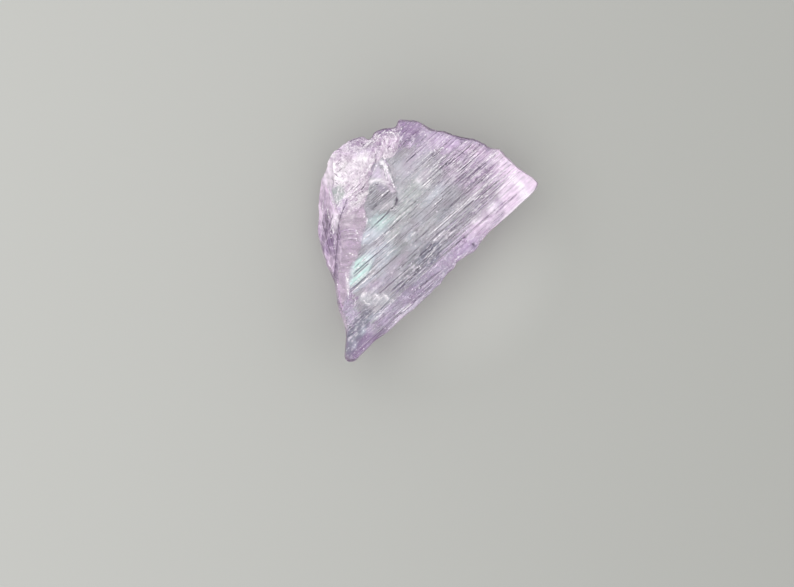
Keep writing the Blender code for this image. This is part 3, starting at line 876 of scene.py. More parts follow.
# Patches of the surface in picture units, from the lowest layer up.
# Spots: tint, strength, middle, half length, half width, turn in degrees.
# Areas: tint, strength, softness of the edge, then the corners.
# Bands: tint, strength, half width, then the points of the path.
SPOTS, AREAS, BANDS = [
    # broad tones of the main face
    ("slate", 0.22, 430, 257, 26, 8, 42), ("slate", 0.46, 427, 252, 12, 5, 46), ("ink", 0.16, 427, 252, 9, 3.4, 46), ("slate", 0.32, 410, 281, 22, 10, 42),
    ("moss", 0.40, 397, 249, 14, 7, 44), ("moss", 0.26, 412, 262, 16, 7, 44),
    ("slate", 0.06, 446, 208, 16, 9, 42), ("sage", 0.48, 405, 208, 20, 11, 50),
    ("sage", 0.36, 416, 188, 12, 10, 50), ("sage", 0.22, 428, 226, 22, 6, 44),
    ("haze", 0.34, 408, 167, 14, 9, 45), ("haze", 0.30, 425, 151, 16, 9, 42),
    ("haze", 0.26, 446, 182, 12, 5, 40), ("lilac", 0.18, 384, 281, 15, 6, 40),
    ("rose", 0.20, 372, 286, 10, 5, 30), ("rose", 0.14, 398, 263, 14, 4, 42),
    ("lilac", 0.16, 440, 276, 26, 7, 42), ("slate", 0.30, 432, 286, 26, 8, 44),
    ("lilac", 0.26, 462, 250, 20, 7, 44), ("rose", 0.26, 478, 232, 20, 8, 42),
    ("blush", 0.48, 494, 211, 16, 10, 42), ("blush", 0.46, 477, 226, 13, 7, 42),
    ("rose", 0.24, 488, 190, 22, 10, 42), ("blush", 0.60, 478, 153, 16, 6, -28),
    ("rose", 0.20, 440, 142, 24, 7, -18), ("purple", 0.50, 478, 178, 12, 6.5, 40),
    ("purple", 0.34, 465, 173, 14, 5, 42), ("purple", 0.26, 446, 166, 6, 3, 40),
    ("purple", 0.18, 437, 163, 8, 3.5, 45), ("purple", 0.22, 484, 168, 6, 4, 50),
    ("purple", 0.30, 458, 142, 13, 3.5, -20), ("haze", 0.22, 456, 150, 10, 5, 40),
    # upper end of the main face
    ("purple", 0.54, 410, 136, 12, 10, 0), ("lilac", 0.24, 408, 130, 12, 9, 10),
    ("purple", 0.16, 402, 148, 8, 6, 30), ("pearl", 0.12, 438, 140, 9, 3, 40), ("haze", 0.24, 444, 143, 20, 7, -20),
    ("purple", 0.46, 405, 125, 9, 4, 0), ("haze", 0.20, 420, 130, 10, 4, -20),
    # milky growth bands
    ("pearl", 0.40, 418, 182, 2.6, 3.2, 40), ("pearl", 0.26, 426, 184, 8, 3.4, 42),
    ("ice", 0.26, 433, 196, 9, 3.6, 42), ("blush", 0.24, 424, 176, 9, 5, 42),
    ("ice", 0.18, 440, 186, 6, 4, 40), ("ice", 0.20, 410, 236, 4, 3, 40),
    ("pearl", 0.18, 415, 246, 6, 3, 40), ("pearl", 0.34, 481, 222, 4, 3, 20),
    ("pearl", 0.28, 474, 222, 3, 2.4, 20), ("ice", 0.16, 422, 223, 4, 3, 40),
    # shoulder
    ("cream", 0.30, 350, 167, 19, 15, 20), ("pearl", 0.72, 364, 157, 9, 6, 30),
    ("pearl", 0.34, 345, 178, 11, 7, 30), ("rose", 0.16, 356, 176, 9, 4, 44),
    ("rose", 0.20, 340, 163, 6, 4, 60), ("rose", 0.18, 352, 158, 5, 3, 20),
    ("pearl", 0.36, 356, 169, 6, 4, -30), ("pearl", 0.34, 335, 173, 4, 7, 20),
    ("haze", 0.34, 352, 146, 12, 4, 14), ("lilac", 0.22, 370, 150, 5, 5, 0),
    ("blush", 0.40, 354, 191, 15, 6, 42), ("pearl", 0.30, 347, 195, 8, 4, 44),
    ("purple", 0.34, 357, 142, 9, 3, 10), ("purple", 0.74, 383, 132, 9, 3.6, 18),
    ("purple", 0.26, 372, 143, 4, 5, 40), ("rose", 0.22, 389, 140, 8, 8, 0),
    ("pearl", 0.26, 391, 136, 4, 3, 20), ("pearl", 0.26, 384, 150, 3.5, 7, 20),
    ("haze", 0.30, 345, 206, 6, 4, 30),
    ("pearl", 0.40, 369, 165, 5, 6, 60), ("lilac", 0.46, 358, 153, 8, 4, 10), ("pearl", 0.30, 388, 176, 4, 6, 80),
    # lighter and darker places between
    ("fog", 0.28, 399, 178, 24, 6, 90), ("fog", 0.16, 440, 196, 16, 8, 42), ("fog", 0.30, 422, 164, 13, 7, 60),
    ("fog", 0.14, 408, 206, 12, 5, 42), ("fog", 0.14, 452, 226, 9, 5, 42), ("blush", 0.24, 489, 187, 7, 5, 42),
    ("ice", 0.24, 381, 235, 8, 5, 42), ("ice", 0.24, 390, 254, 8, 4, 42), ("fog", 0.18, 381, 274, 8, 4, 42),
    ("lilac", 0.46, 470, 245, 7, 4, 42), ("slate", 0.18, 446, 216, 10, 5, 42), ("slate", 0.20, 414, 246, 11, 4.5, 42), ("lilac", 0.26, 496, 205, 7, 4, 42), ("lilac", 0.28, 450, 144, 12, 4, -20), ("lilac", 0.24, 419, 154, 8, 5, 42), ("purple", 0.14, 438, 134, 12, 3, -12),
    ("purple", 0.32, 480, 184, 7, 4, 42), ("lilac", 0.22, 499, 206, 6, 4, 42), ("slate", 0.14, 444, 218, 11, 5, 42),
    ("fog", 0.26, 400, 195, 6, 5, 90), ("fog", 0.18, 430, 176, 9, 5, 42), ("slate", 0.14, 410, 260, 9, 4, 42),
    # strip
    ("lilac", 0.14, 344, 275, 6, 22, 0), ("lilac", 0.18, 351, 242, 9, 10, 0),
    ("cream", 0.18, 349, 219, 9, 6, 30), ("rose", 0.20, 356, 210, 8, 4, 0),
    ("pearl", 0.22, 352, 218, 4, 1.6, 36), ("pearl", 0.16, 347, 225, 4, 1.4, 20),
], [
    # green and icy cleavage flashes, painted reflections
    ("mint", 0.38, 2.8, (350, 288), (350, 280), (352, 267), (357, 261), (366, 255), (373, 256), (372, 268), (366, 276), (357, 285)),
    ("mint", 0.40, 1.8, (352, 268), (354, 263), (360, 259), (367, 255.5), (371, 256.5), (366, 261), (360, 266), (354, 270)),
    ("mint", 0.54, 1.5, (350, 283.5), (352, 280), (358, 276), (364, 271), (369.5, 267.5), (370, 270.5), (364, 277), (358, 281.5), (352, 286)),
    ("mint", 0.26, 3.6, (368, 221), (378, 212), (388, 213), (395, 219), (391, 226), (386, 230), (378, 233), (370, 229)),
    ("mint", 0.20, 1.6, (374, 226), (382, 219), (389, 221), (384, 227), (378, 230)),
    ("ice", 0.44, 2.6, (361, 240), (366, 229), (375, 229), (379, 235), (371, 243), (363, 245)),
    ("ice", 0.34, 3.0, (364, 254), (380, 243), (393, 240), (389, 250), (378, 259), (368, 264)),
    ("ice", 0.20, 3.0, (372, 268), (384, 258), (392, 256), (388, 264), (378, 272)),
    ("sage", 0.34, 3.0, (384, 238), (392, 229), (402, 227), (400, 237), (390, 245)),
    ("slate", 0.30, 1.6, (350, 289), (355, 286), (362, 281), (368, 277), (369, 279), (362, 285), (353, 291)),
    ("ice", 0.40, 1.4, (352, 293), (358, 288.4), (365, 282), (374, 275), (376, 276.6), (366, 285), (356, 292.6)),
    # pale splinters above the bottom end
    ("pearl", 0.62, 1.2, (360.4, 297), (362.6, 292.6), (367.4, 291.4), (368, 293.4), (364.4, 297.8)),
    ("fog", 0.36, 2.2, (360, 301), (362, 295), (372, 293), (388, 292), (391, 299), (386, 306), (372, 306)),
    # tones of the upper edge and the upper right
    ("rose", 0.26, 5.0, (440, 146), (470, 146), (498, 160), (494, 190), (476, 200), (460, 190), (445, 175), (436, 160)),
    ("purple", 0.32, 3.0, (398, 124), (416, 122), (425, 130), (420, 142), (406, 144), (398, 136)),
    ("lilac", 0.34, 3.0, (430, 133), (456, 138), (464, 146), (446, 151), (430, 144)),
    # dark cluster of growth lines right of the middle
    ("slate", 0.56, 2.4, (415, 264), (418, 255), (424, 248), (431, 243), (440, 242), (441, 252), (434, 260), (424, 266)),
    ("slate", 0.46, 2.2, (423, 264), (425, 255), (432, 249), (439, 248), (441, 254), (435, 262), (428, 267)),
    ("ink", 0.30, 1.6, (426, 260), (428, 254), (433, 250.4), (436, 252), (432, 258)),
    ("ink", 0.72, 0.8, (471, 243), (473.4, 243.2), (475.6, 247), (474.2, 248.6), (472, 246.6)),
    ("ink", 0.28, 1.6, (421, 257), (426, 250.4), (432, 246.4), (431, 251.4), (425, 257)),
    # sunk window
    ("ash", 0.10, 1.3, (363.5, 204), (365, 195), (368, 188), (371, 183.5), (376, 182.5), (381, 184), (386, 187), (390, 190.5), (394, 196), (395.5, 201), (393, 207), (387, 211), (379, 213), (371, 213), (367, 209)),
    ("slate", 0.10, 1.6, (371, 186), (376, 184.4), (381, 186.4), (387, 190), (384, 193), (379, 197), (374, 197), (370, 192)),
    ("lilac", 0.26, 1.8, (376, 183.4), (382, 185.4), (388, 189.4), (386, 193), (380, 192)),
    ("fog", 0.26, 1.6, (366, 200), (367, 192), (371, 187.4), (377, 187.6), (377, 193), (372, 200)),
    ("ash", 0.30, 1.8, (365, 204), (372, 197), (380, 197), (379, 203), (374, 211), (369, 209)),
    ("ink", 0.42, 1.2, (371.5, 209.5), (374, 206), (377, 204), (378.5, 205), (376, 208.5), (373.5, 211)),
    ("cream", 0.26, 1.8, (381, 207), (386, 203.4), (393, 202), (392, 208), (385, 211.4), (380, 211)),
    ("pearl", 0.58, 1.5, (368, 184.4), (370, 180.6), (376, 178.6), (382, 179.4), (387, 182.4), (389.4, 186), (385, 185.8), (380, 183.4), (375.5, 182.2), (371, 185)),
    ("blush", 0.44, 1.6, (386, 183), (390, 182), (394, 186), (396, 192), (392, 194), (389, 189)),
    # sunk triangle
    ("haze", 0.66, 1.3, (376.8, 163.5), (379, 166), (381, 170.5), (381.6, 178.5), (377, 179.5), (371, 178.5), (373, 172.5)),
    ("lilac", 0.22, 1.4, (376, 170), (380, 172), (380.4, 178), (374, 178)),
    ("pearl", 0.74, 1.3, (380, 162.4), (383, 161.6), (386.4, 164.6), (387.8, 170), (387.2, 172.6), (385, 170), (383.4, 167), (380.6, 165)),
    ("pearl", 0.16, 2.2, (386, 149), (392, 151), (394, 164), (392, 174), (388.6, 166)),
    ("blush", 0.46, 1.2, (386.6, 171), (388.6, 174), (391.6, 182.4), (389, 183.6), (387.4, 178)),
    ("blush", 0.40, 1.4, (381.5, 171), (384, 170), (386, 177), (386.5, 182), (382.5, 180)),
    ("purple", 0.50, 0.9, (383.6, 176.2), (384.4, 174), (385.4, 174.4), (384.8, 176.6)),
    ("pearl", 0.34, 1.6, (377, 151), (380, 149), (382, 156), (380.6, 162), (377.4, 161)),
    # grey facet
    ("stone", 0.86, 1.5, (331, 189), (335, 186), (343, 187), (346, 192), (343, 199), (337, 206), (333, 202)),
    ("lilac", 0.56, 1.6, (337, 207), (343, 200), (348, 198), (347.6, 206), (342, 215), (338, 213)),
    ("ash", 0.20, 1.4, (334, 198), (338, 194), (338, 199), (335.5, 203)),
    # left edge of the shoulder
    ("cream", 0.62, 2.2, (324, 168), (329, 159), (336, 163), (336, 178), (333, 188), (327, 187), (321, 182)),
    # chips on the upper edge
    ("purple", 0.66, 2.4, (376, 134), (384, 129), (397, 128), (404, 131), (401, 137), (392, 138), (384, 137), (377, 139)),
    ("purple", 0.44, 2.6, (345, 147), (352, 140), (364, 138), (374, 139), (378, 148), (368, 152), (352, 151)),
    # flank
    ("blush", 0.56, 1.6, (325, 188), (331, 188), (335, 204), (339, 213), (334, 227), (329.6, 222), (327.4, 206)),
    ("blush", 0.66, 2.0, (316, 188), (323, 182), (328, 188), (330, 200), (328, 210), (322, 218), (318, 210)),
    ("lilac", 0.30, 1.2, (323, 196), (326, 190), (327, 198), (325, 208), (322, 214)),
    ("purple", 0.20, 1.0, (330.6, 211), (331.2, 222), (329.8, 232), (326, 236), (322, 241), (321, 236), (323.6, 226), (326, 217)),
    ("purple", 0.40, 2.0, (320, 238), (325, 229), (331, 223), (334, 232), (338, 240), (336, 255), (330, 257), (323, 252)),
    ("haze", 0.40, 1.2, (319, 226), (322, 222), (323, 232), (321, 244), (319, 238)),
    ("purple", 0.66, 1.3, (321, 249), (326, 241), (330, 238), (335, 240), (337, 246), (335, 253), (330, 251), (326, 254)),
    ("lilac", 0.30, 1.2, (328.5, 204), (327.6, 212), (325, 220), (323.4, 226), (323.4, 218), (325.6, 210)),
    ("purple", 0.66, 0.9, (347.4, 201), (345.6, 209), (343.4, 214.6), (340.8, 216), (343, 207)),
    ("purple", 0.36, 1.0, (339.4, 241), (338.8, 250), (337, 258), (336.4, 252), (337.8, 244)),
    ("blush", 0.44, 1.4, (326, 257), (332, 255), (336, 262), (334, 273), (330, 272), (327, 264)),
    ("blush", 0.40, 1.0, (319, 212), (322, 210), (323.4, 217), (321, 226), (318.6, 222)),
    ("lilac", 0.30, 1.2, (326, 264), (329, 268), (331, 277), (328, 275)),
    ("purple", 0.20, 1.2, (330, 258), (334, 256), (335, 262), (332, 264)),
    ("pearl", 0.44, 1.2, (331, 214), (334, 212), (338, 214), (340, 222), (337, 233), (332.6, 232), (331.4, 224)),
    # right edge of the strip
    ("pearl", 0.30, 1.3, (346, 276), (348, 272), (349, 284), (349.6, 297), (347.4, 296), (346, 286)),
    # right end, a bright pearly face
    ("blush", 0.76, 4.0, (492, 151), (500, 149), (511, 160), (527, 173), (539, 181), (539, 187), (528, 197), (516, 208), (505, 214), (500, 201), (500, 184), (494, 168)),
    ("pearl", 0.62, 1.6, (508.6, 184), (510, 177), (514, 175), (517.4, 179), (513, 184)),
    ("pearl", 0.52, 1.8, (513, 184), (519, 180.6), (525, 188), (520, 193)),
    ("pearl", 0.60, 1.8, (519.6, 192), (525.6, 190), (528, 194), (523, 201), (518.6, 199)),
    ("purple", 0.40, 1.2, (497.6, 204.4), (501, 200.6), (504.4, 203), (502, 207.4)),
    ("pearl", 0.40, 2.0, (487, 212), (493, 205), (498, 205), (497, 211), (490, 215)),
    # bottom end
    ("slate", 0.70, 3.0, (344, 352), (346, 335), (356, 318), (366, 306), (373, 312), (367, 326), (361, 345), (352, 361)),
    ("slate", 0.72, 2.5, (347, 334), (352, 322), (362, 316), (370, 318), (364, 336), (353, 356)),
    ("purple", 0.60, 3.0, (346, 362), (355, 342), (368, 331), (384, 327), (388, 334), (372, 348), (358, 362)),
    ("ash", 0.34, 3.0, (374, 322), (384, 311), (394, 314), (393, 326), (382, 337), (370, 332)),
    ("lilac", 0.26, 3.0, (378, 324), (386, 314), (393, 318), (388, 328)),
    ("ice", 0.22, 1.8, (367, 319), (373, 312), (383, 308), (380, 316), (372, 322)),
    ("ice", 0.40, 1.4, (361.4, 335), (362, 327), (365, 325), (365.6, 333)),
    ("ice", 0.34, 1.6, (353, 348), (354, 342), (357, 343), (356, 348)),
    ("fog", 0.16, 2.2, (350, 342), (353, 330), (358, 322), (360, 328), (355, 342)),
], [
    ("purple", 0.46, 1.5, (385, 135), (381, 142), (379, 149), (377, 157), (375, 164), (372.6, 171), (369.5, 177)),
    ("rose", 0.30, 2.2, (384, 148), (380, 156), (378, 162)),
    ("purple", 0.40, 1.1, (348, 143.4), (353, 140.4), (359, 138.8), (364, 138.4), (367, 140.2)),
    ("purple", 0.50, 1.3, (373, 138), (376, 133.6), (381, 131.2), (388, 130), (395, 129.4)),
    ("purple", 0.36, 1.3, (397, 127), (399, 122), (406, 121.4), (414, 122), (421, 124.4), (430, 129.6)),
    ("purple", 0.64, 1.8, (430, 130.4), (444, 132.4), (456, 137), (466, 139.4), (478, 142), (490, 149)),
    ("purple", 0.26, 1.2, (347, 201), (344, 209), (341, 216), (338.6, 226), (338.2, 240), (337.2, 255), (335.2, 272), (334.8, 284)),
    ("pearl", 0.30, 1.4, (440, 229), (451, 217.6), (461, 209), (473, 198.4), (483, 190)),
    ("pearl", 0.22, 1.1, (450, 237), (456, 231.6), (464, 225)),
    ("pearl", 0.40, 1.7, (496, 193), (501, 188), (507, 184)), ("pearl", 0.34, 1.5, (500, 197), (508, 190)),
    ("pearl", 0.34, 1.8, (491, 164), (497, 160), (500, 162)), ("pearl", 0.26, 1.3, (503, 171), (508, 166), (512, 163)),
    ("blush", 0.50, 1.2, (500, 222), (490, 231), (482, 240)),
    ("pearl", 0.52, 1.5, (534, 190.6), (528, 196.6), (519, 204.6), (511, 212), (502, 220)),
    ("purple", 0.56, 1.8, (471.4, 245), (474.4, 247.6)),
    ("pearl", 0.56, 1.0, (375, 294.4), (377, 295.8), (378.8, 298.4)),
    ("pearl", 0.56, 1.1, (383.6, 294.4), (386, 296), (388.6, 298.4)), ("pearl", 0.34, 0.9, (368, 299), (372, 297), (375, 298)),
    ("haze", 0.44, 1.3, (396, 322), (390, 330), (380, 338.6), (370, 347), (360, 356)),
    ("purple", 0.46, 1.4, (345.6, 354), (347, 358), (350, 360.6), (355, 359.6)),
    ("purple", 0.30, 1.3, (452, 149.4), (458, 151.6), (463, 155), (466, 158)),
    ("lilac", 0.36, 1.1, (356, 231), (353, 229.6), (346, 230), (341, 232)),
]
# How mottled the face is: middle, half length, half width in picture units, turn, strength.
MOTTLED = [
    (456, 158, 26, 9, 42, 0.9), (474, 175, 15, 9, 42, 1.1), (442, 146, 20, 9, 20, 0.8), (492, 213, 18, 7, 42, 0.8),
    (408, 134, 14, 10, 0, 0.7), (430, 254, 18, 8, 42, 0.8), (448, 232, 22, 6, 42, 0.8), (415, 236, 14, 7, 42, 0.6),
    (478, 150, 12, 5, -30, 0.6), (350, 340, 20, 8, 70, 0.7), (368, 318, 16, 9, 45, 0.6), (384, 246, 14, 6, 42, 0.5),
    (408, 272, 16, 8, 42, 0.5), (460, 246, 16, 5, 42, 0.6), (436, 280, 22, 5, 42, 0.5), (372, 290, 14, 7, 20, 0.5),
    (500, 165, 12, 8, 20, 0.5), (420, 200, 14, 9, 42, 0.4),
]
# Small white specks, painted glints: place in picture units and radius in picture units.
SPECKS = [
    (436.6, 212.2, 1.1), (438.2, 206.6, 0.7), (448.0, 223.4, 0.8), (444.2, 231.4, 0.8), (439.4, 236.2, 0.7),
    (426.4, 239.0, 0.8), (411.4, 236.2, 0.9), (421.0, 223.0, 0.7), (462.6, 213.0, 0.6), (446.8, 239.0, 0.7),
    (392.0, 273.0, 1.0), (391.6, 277.0, 0.7), (348.2, 267.6, 1.0), (347.0, 277.4, 0.9), (348.4, 281.6, 0.9),
    (348.0, 285.4, 0.7), (348.6, 290.0, 0.8), (349.0, 295.6, 0.7), (346.6, 273.0, 0.7), (346.2, 275.4, 0.8),
    (357.0, 294.6, 0.7), (420.0, 268.6, 0.9), (406.0, 271.4, 0.7), (473.8, 222.2, 1.2), (481.6, 222.6, 1.1),
    (478.6, 216.0, 0.7), (383.6, 235.4, 1.1), (388.6, 233.0, 0.8), (384.2, 246.0, 0.8), (378.6, 254.4, 0.8),
    (400.8, 268.0, 0.6), (453.0, 187.0, 0.9), (447.0, 184.0, 0.6), (431.0, 171.6, 0.8), (456.4, 191.4, 0.6),
    (413.6, 152.0, 0.6), (464.6, 143.6, 0.9), (470.0, 147.6, 0.8), (446.4, 150.4, 1.0), (434.6, 152.0, 0.8),
    (424.6, 142.4, 0.8), (442.0, 143.0, 0.8), (415.4, 246.4, 0.7), (431.0, 266.4, 0.6), (331.4, 233.4, 0.9),
    (331.6, 237.6, 0.9), (358.4, 303.4, 0.7), (364.0, 294.6, 1.5), (377.4, 296.0, 1.3), (385.8, 295.8, 1.5), (362.0, 296.4, 0.9), (366.6, 292.8, 0.9), (387.6, 297.4, 0.8),
    (355.4, 344.4, 0.9), (363.6, 330.4, 1.0), (377.0, 316.4, 0.9), (343.4, 232.0, 0.6), (358.2, 234.0, 0.9),
]


def shaped(x, y, corners, soft):
    """1 inside a polygon in picture units and 0 outside, with a soft edge."""
    px, py = x / PX + MID[0], MID[1] - y / PX
    inside, far = np.zeros(x.shape, bool), np.full(x.shape, np.inf)
    for (ax, ay), (bx, by) in zip(corners, corners[1:] + corners[:1]):
        dx, dy = bx - ax, by - ay
        t = np.clip(((px - ax) * dx + (py - ay) * dy) / (dx * dx + dy * dy), 0, 1)
        far = np.minimum(far, np.hypot(px - ax - t * dx, py - ay - t * dy))
        crosses = ((ay > py) != (by > py)) & (px < ax + (py - ay) * dx / (dy if dy else 1e-9))
        inside ^= crosses
    return np.clip(0.5 + np.where(inside, far, -far) / (2 * soft), 0, 1)


patch_grain = Grain(61)


def keep_patches(made, relief=False):
    count = len(made.data.vertices)
    co = np.zeros(count * 3)
    made.data.vertices.foreach_get("co", co)
    x, y, z = co[0::3], co[1::3], co[2::3]
    u, v = along_c(x / MM, y / MM)
    # patches lie on the upper side only, not on the walls that lean in below the outline
    facing = np.zeros(count * 3)
    made.data.vertices.foreach_get("normal", facing)
    upper = np.clip((z / MM - 1.5) / 0.3, 0, 1) * np.clip((facing[2::3] + 0.10) / 0.2, 0, 1)
    ragged = 1 + 0.34 * patch_grain(x / MM * 3.4, y / MM * 3.4, 2.2)
    shapes = [(n, a, spots(x, y, [(*rest, 1.0)])) for n, a, *rest in SPOTS]
    shapes += [(n, a, shaped(x, y, corners, soft)) for n, a, soft, *corners in AREAS]
    shapes += [(n, a, bands(x, y, [(half, 1.0, *path)])) for n, a, half, *path in BANDS]
    colour, clear = np.zeros((count, 3)), np.ones(count)
    for tint, strength, share in shapes:
        share = np.clip(share * strength * ragged, 0, 0.92) * upper
        colour = colour * (1 - share)[:, None] + share[:, None] * np.array(TINTS[tint])
        clear = clear * (1 - share)
    cover = 1 - clear
    colour = colour / np.maximum(cover, 1e-4)[:, None]
    marks = {"veil": cover}
    if relief:
        slope = (striae(u, v + 0.018) - striae(u, v - 0.018)) / 0.036
        marks.update({
            "cut": lines_at(u, v, CUTS)[0], "crest": lines_at(u, v, CRESTS)[0],
            "lively": blots(u, v, LIVELY), "slope": slope, "mottled": spots(x, y, MOTTLED),
        })
    for name, values in marks.items():
        kept = made.data.attributes.new(name, "FLOAT", "POINT")
        kept.data.foreach_set("value", values.astype(np.float32))
    tone = made.data.attributes.new("tone", "FLOAT_COLOR", "POINT")
    tone.data.foreach_set(
        "color", np.hstack([colour, np.ones((count, 1))]).ravel().astype(np.float32)
    )


class Film:
    """A thin skin made of layers, each of which covers a share of it with its colour."""

    def __init__(self, t):
        self.t, self.colour, self.clear = t, None, None

    def layer(self, colour, share):
        t = self.t
        rest = t.math("SUBTRACT", 1.0, share, clamp=True)
        self.colour = t.mix(share, self.colour or (0.0, 0.0, 0.0), colour)
        self.clear = t.math("MULTIPLY", self.clear, rest) if self.clear else rest

    def finish(self, roughness=0.45):
        t = self.t
        shader = t.tree.nodes["Principled BSDF"]
        cover = t.math("SUBTRACT", 1.0, self.clear, clamp=True)
        whole = t.node(
            "ShaderNodeVectorMath",
            {0: self.colour, "Scale": t.math("DIVIDE", 1.0, t.math("MAXIMUM", cover, 0.002))},
            operation="SCALE",
        )
        t.feed(shader.inputs["Base Color"], whole.outputs[0])
        t.feed(shader.inputs["Alpha"], cover)
        shader.inputs["Roughness"].default_value = roughness
        shader.inputs["IOR"].default_value = 1.5


def film_material(name):
    made = bpy.data.materials.new(name)
    return made, Tree(made)


def face_skin():
    """The main face: growth lines along the c axis get a painted highlight on one side and painted shade on the other.
    """
    made, t = film_material("striated_skin")
    streak = t.noise(t.along(650.0, 5200.0), 1.0, 2.0, 0.55)
    narrow = t.noise(t.along(420.0, 13000.0), 1.0, 1.0, 0.5)
    hair = t.noise(t.along(300.0, 10500.0), 1.0, 1.5, 0.5)
    broken_up = t.noise(t.along(1100.0, 4200.0), 1.3, 1.5, 0.5)
    cloud = t.noise(t.place(), 1300.0, 4.0, 0.6)
    mottle = t.noise(t.along(2600.0, 4600.0), 1.0, 3.0, 0.6)
    grain = t.noise(t.place(), 9000.0, 2.0, 0.5)
    lively, cut, crest, slope = (t.attribute(n) for n in ("lively", "cut", "crest", "slope"))
    veil, mottled = t.attribute("veil"), t.attribute("mottled")
    tone = t.node("ShaderNodeAttribute", attribute_name="tone").outputs["Color"]
    show = t.math("MULTIPLY", t.math("MULTIPLY_ADD", lively, 0.70, 0.10), t.ease(broken_up, 0.36, 0.60, 0.20, 1.0), clamp=True)
    film = Film(t)
    film.layer((0.80, 0.94, 1.0), t.math("ADD", 0.095, t.ease(cloud, 0.34, 0.66, -0.04, 0.07), clamp=True))
    film.layer(tone, t.math("MULTIPLY", veil, t.ease(streak, 0.36, 0.60, 0.78, 1.10), clamp=True))
    film.layer((0.14, 0.08, 0.16), t.math("MULTIPLY", t.ease(mottle, 0.47, 0.33), t.math("MULTIPLY_ADD", mottled, 0.44, 0.07), clamp=True))
    film.layer((0.98, 0.90, 0.98), t.math("MULTIPLY", t.ease(mottle, 0.54, 0.66), t.math("MULTIPLY_ADD", mottled, 0.38, 0.08), clamp=True))
    # painted highlight on the side of each growth line that faces the light, and painted shade on the side that faces
    # away, from the slope of the striae
    film.layer((1.0, 0.95, 1.0), t.math("MULTIPLY", t.ease(slope, -0.12, -0.55), t.math("MULTIPLY", show, 0.26)))
    film.layer((0.055, 0.05, 0.10), t.math("MULTIPLY", t.ease(slope, 0.14, 0.62), t.math("MULTIPLY", show, 0.40)))
    # fine dark and bright lines: painted shade and painted highlight of the fine growth lines
    film.layer((0.07, 0.065, 0.12), t.math("MULTIPLY", t.ease(hair, 0.575, 0.65), t.math("MULTIPLY_ADD", lively, 0.30, 0.04), clamp=True))
    film.layer((1.0, 0.95, 1.0), t.math("MULTIPLY", t.ease(narrow, 0.60, 0.68), t.math("MULTIPLY_ADD", lively, 0.24, 0.06), clamp=True))
    # painted shade in the listed grooves and painted highlight on the listed crests
    film.layer((0.07, 0.05, 0.09), t.math("MULTIPLY", t.ease(cut, 0.10, 0.70), 0.36))
    film.layer((1.0, 0.96, 1.0), t.math("MULTIPLY", t.ease(crest, 0.10, 0.80), 0.36))
    film.layer((1.0, 0.97, 1.0), t.ease(grain, 0.64, 0.74, 0.0, 0.45))
    film.finish()
    return made


def frost_skin(name, pale, rose, dark_colour, low, high, scale, stretch=(1, 1, 1), shaded=0.3, turn=0.0, crackle=0.25, curl=0.0):
    """Broken zones: a web of tiny cracks that scatters light, with clear gaps and painted shade in pockets and on some
    facets.
    """
    made, t = film_material(name)
    turned = t.node(
        "ShaderNodeVectorRotate", {"Vector": t.place(), "Angle": math.radians(turn)},
        rotation_type="Z_AXIS",
    )
    where = t.node(
        "ShaderNodeVectorMath", {0: turned.outputs[0], 1: stretch}, operation="MULTIPLY"
    ).outputs[0]
    bent = t.noise(where, scale * 0.8, 2.0, 0.5)
    web = t.node(
        "ShaderNodeTexVoronoi", {"Vector": where, "Scale": scale}, feature="DISTANCE_TO_EDGE"
    )
    cells = t.node("ShaderNodeTexVoronoi", {"Vector": where, "Scale": scale * 0.55}, feature="F1")
    facet = t.node("ShaderNodeSeparateColor", {"Color": cells.outputs["Color"]}).outputs[0]
    cloud = t.noise(where, scale * 0.40, 4.0, 0.60, 0.4)
    grain = t.noise(where, scale * 1.7, 3.0, 0.6)
    veil = t.attribute("veil")
    tone = t.node("ShaderNodeAttribute", attribute_name="tone").outputs["Color"]
    film = Film(t)
    film.layer(
        t.mix(t.ease(cloud, 0.60, 0.42), pale, rose),
        t.math("MULTIPLY_ADD", facet, 0.10, t.ease(cloud, 0.38, 0.62, low, high), clamp=True),
    )
    film.layer(tone, t.math("MULTIPLY", veil, t.ease(bent, 0.38, 0.60, 0.70, 1.15), clamp=True))
    # painted shade: darker pockets in the clouds and darker facets, kept mostly off where the tint patches cover
    open_share = t.math("MULTIPLY_ADD", veil, -0.75, 1.0, clamp=True)
    film.layer(dark_colour, t.math("MULTIPLY", t.ease(cloud, 0.46, 0.34, 0.0, shaded), open_share))
    film.layer(dark_colour, t.math("MULTIPLY", t.ease(facet, 0.30, 0.10, 0.0, shaded * 0.6), open_share))
    film.layer(pale, t.ease(web.outputs["Distance"], 0.06, 0.0, 0.0, crackle))
    if curl:
        for colour, step, reach_out, share in ((dark_colour, 0.95, 0.026, 0.55), (pale, 0.80, 0.040, 1.0)):
            level = t.noise(where, scale * step, 2.0, 0.5, 1.1)
            far = t.math("ABSOLUTE", t.math("SUBTRACT", level, 0.5))
            film.layer(colour, t.ease(far, reach_out, 0.004, 0.0, curl * share))
    film.layer(dark_colour, t.ease(grain, 0.38, 0.27, 0.0, 0.46))
    film.layer(pale, t.ease(grain, 0.61, 0.71, 0.0, 0.50))
    film.finish()
    return made
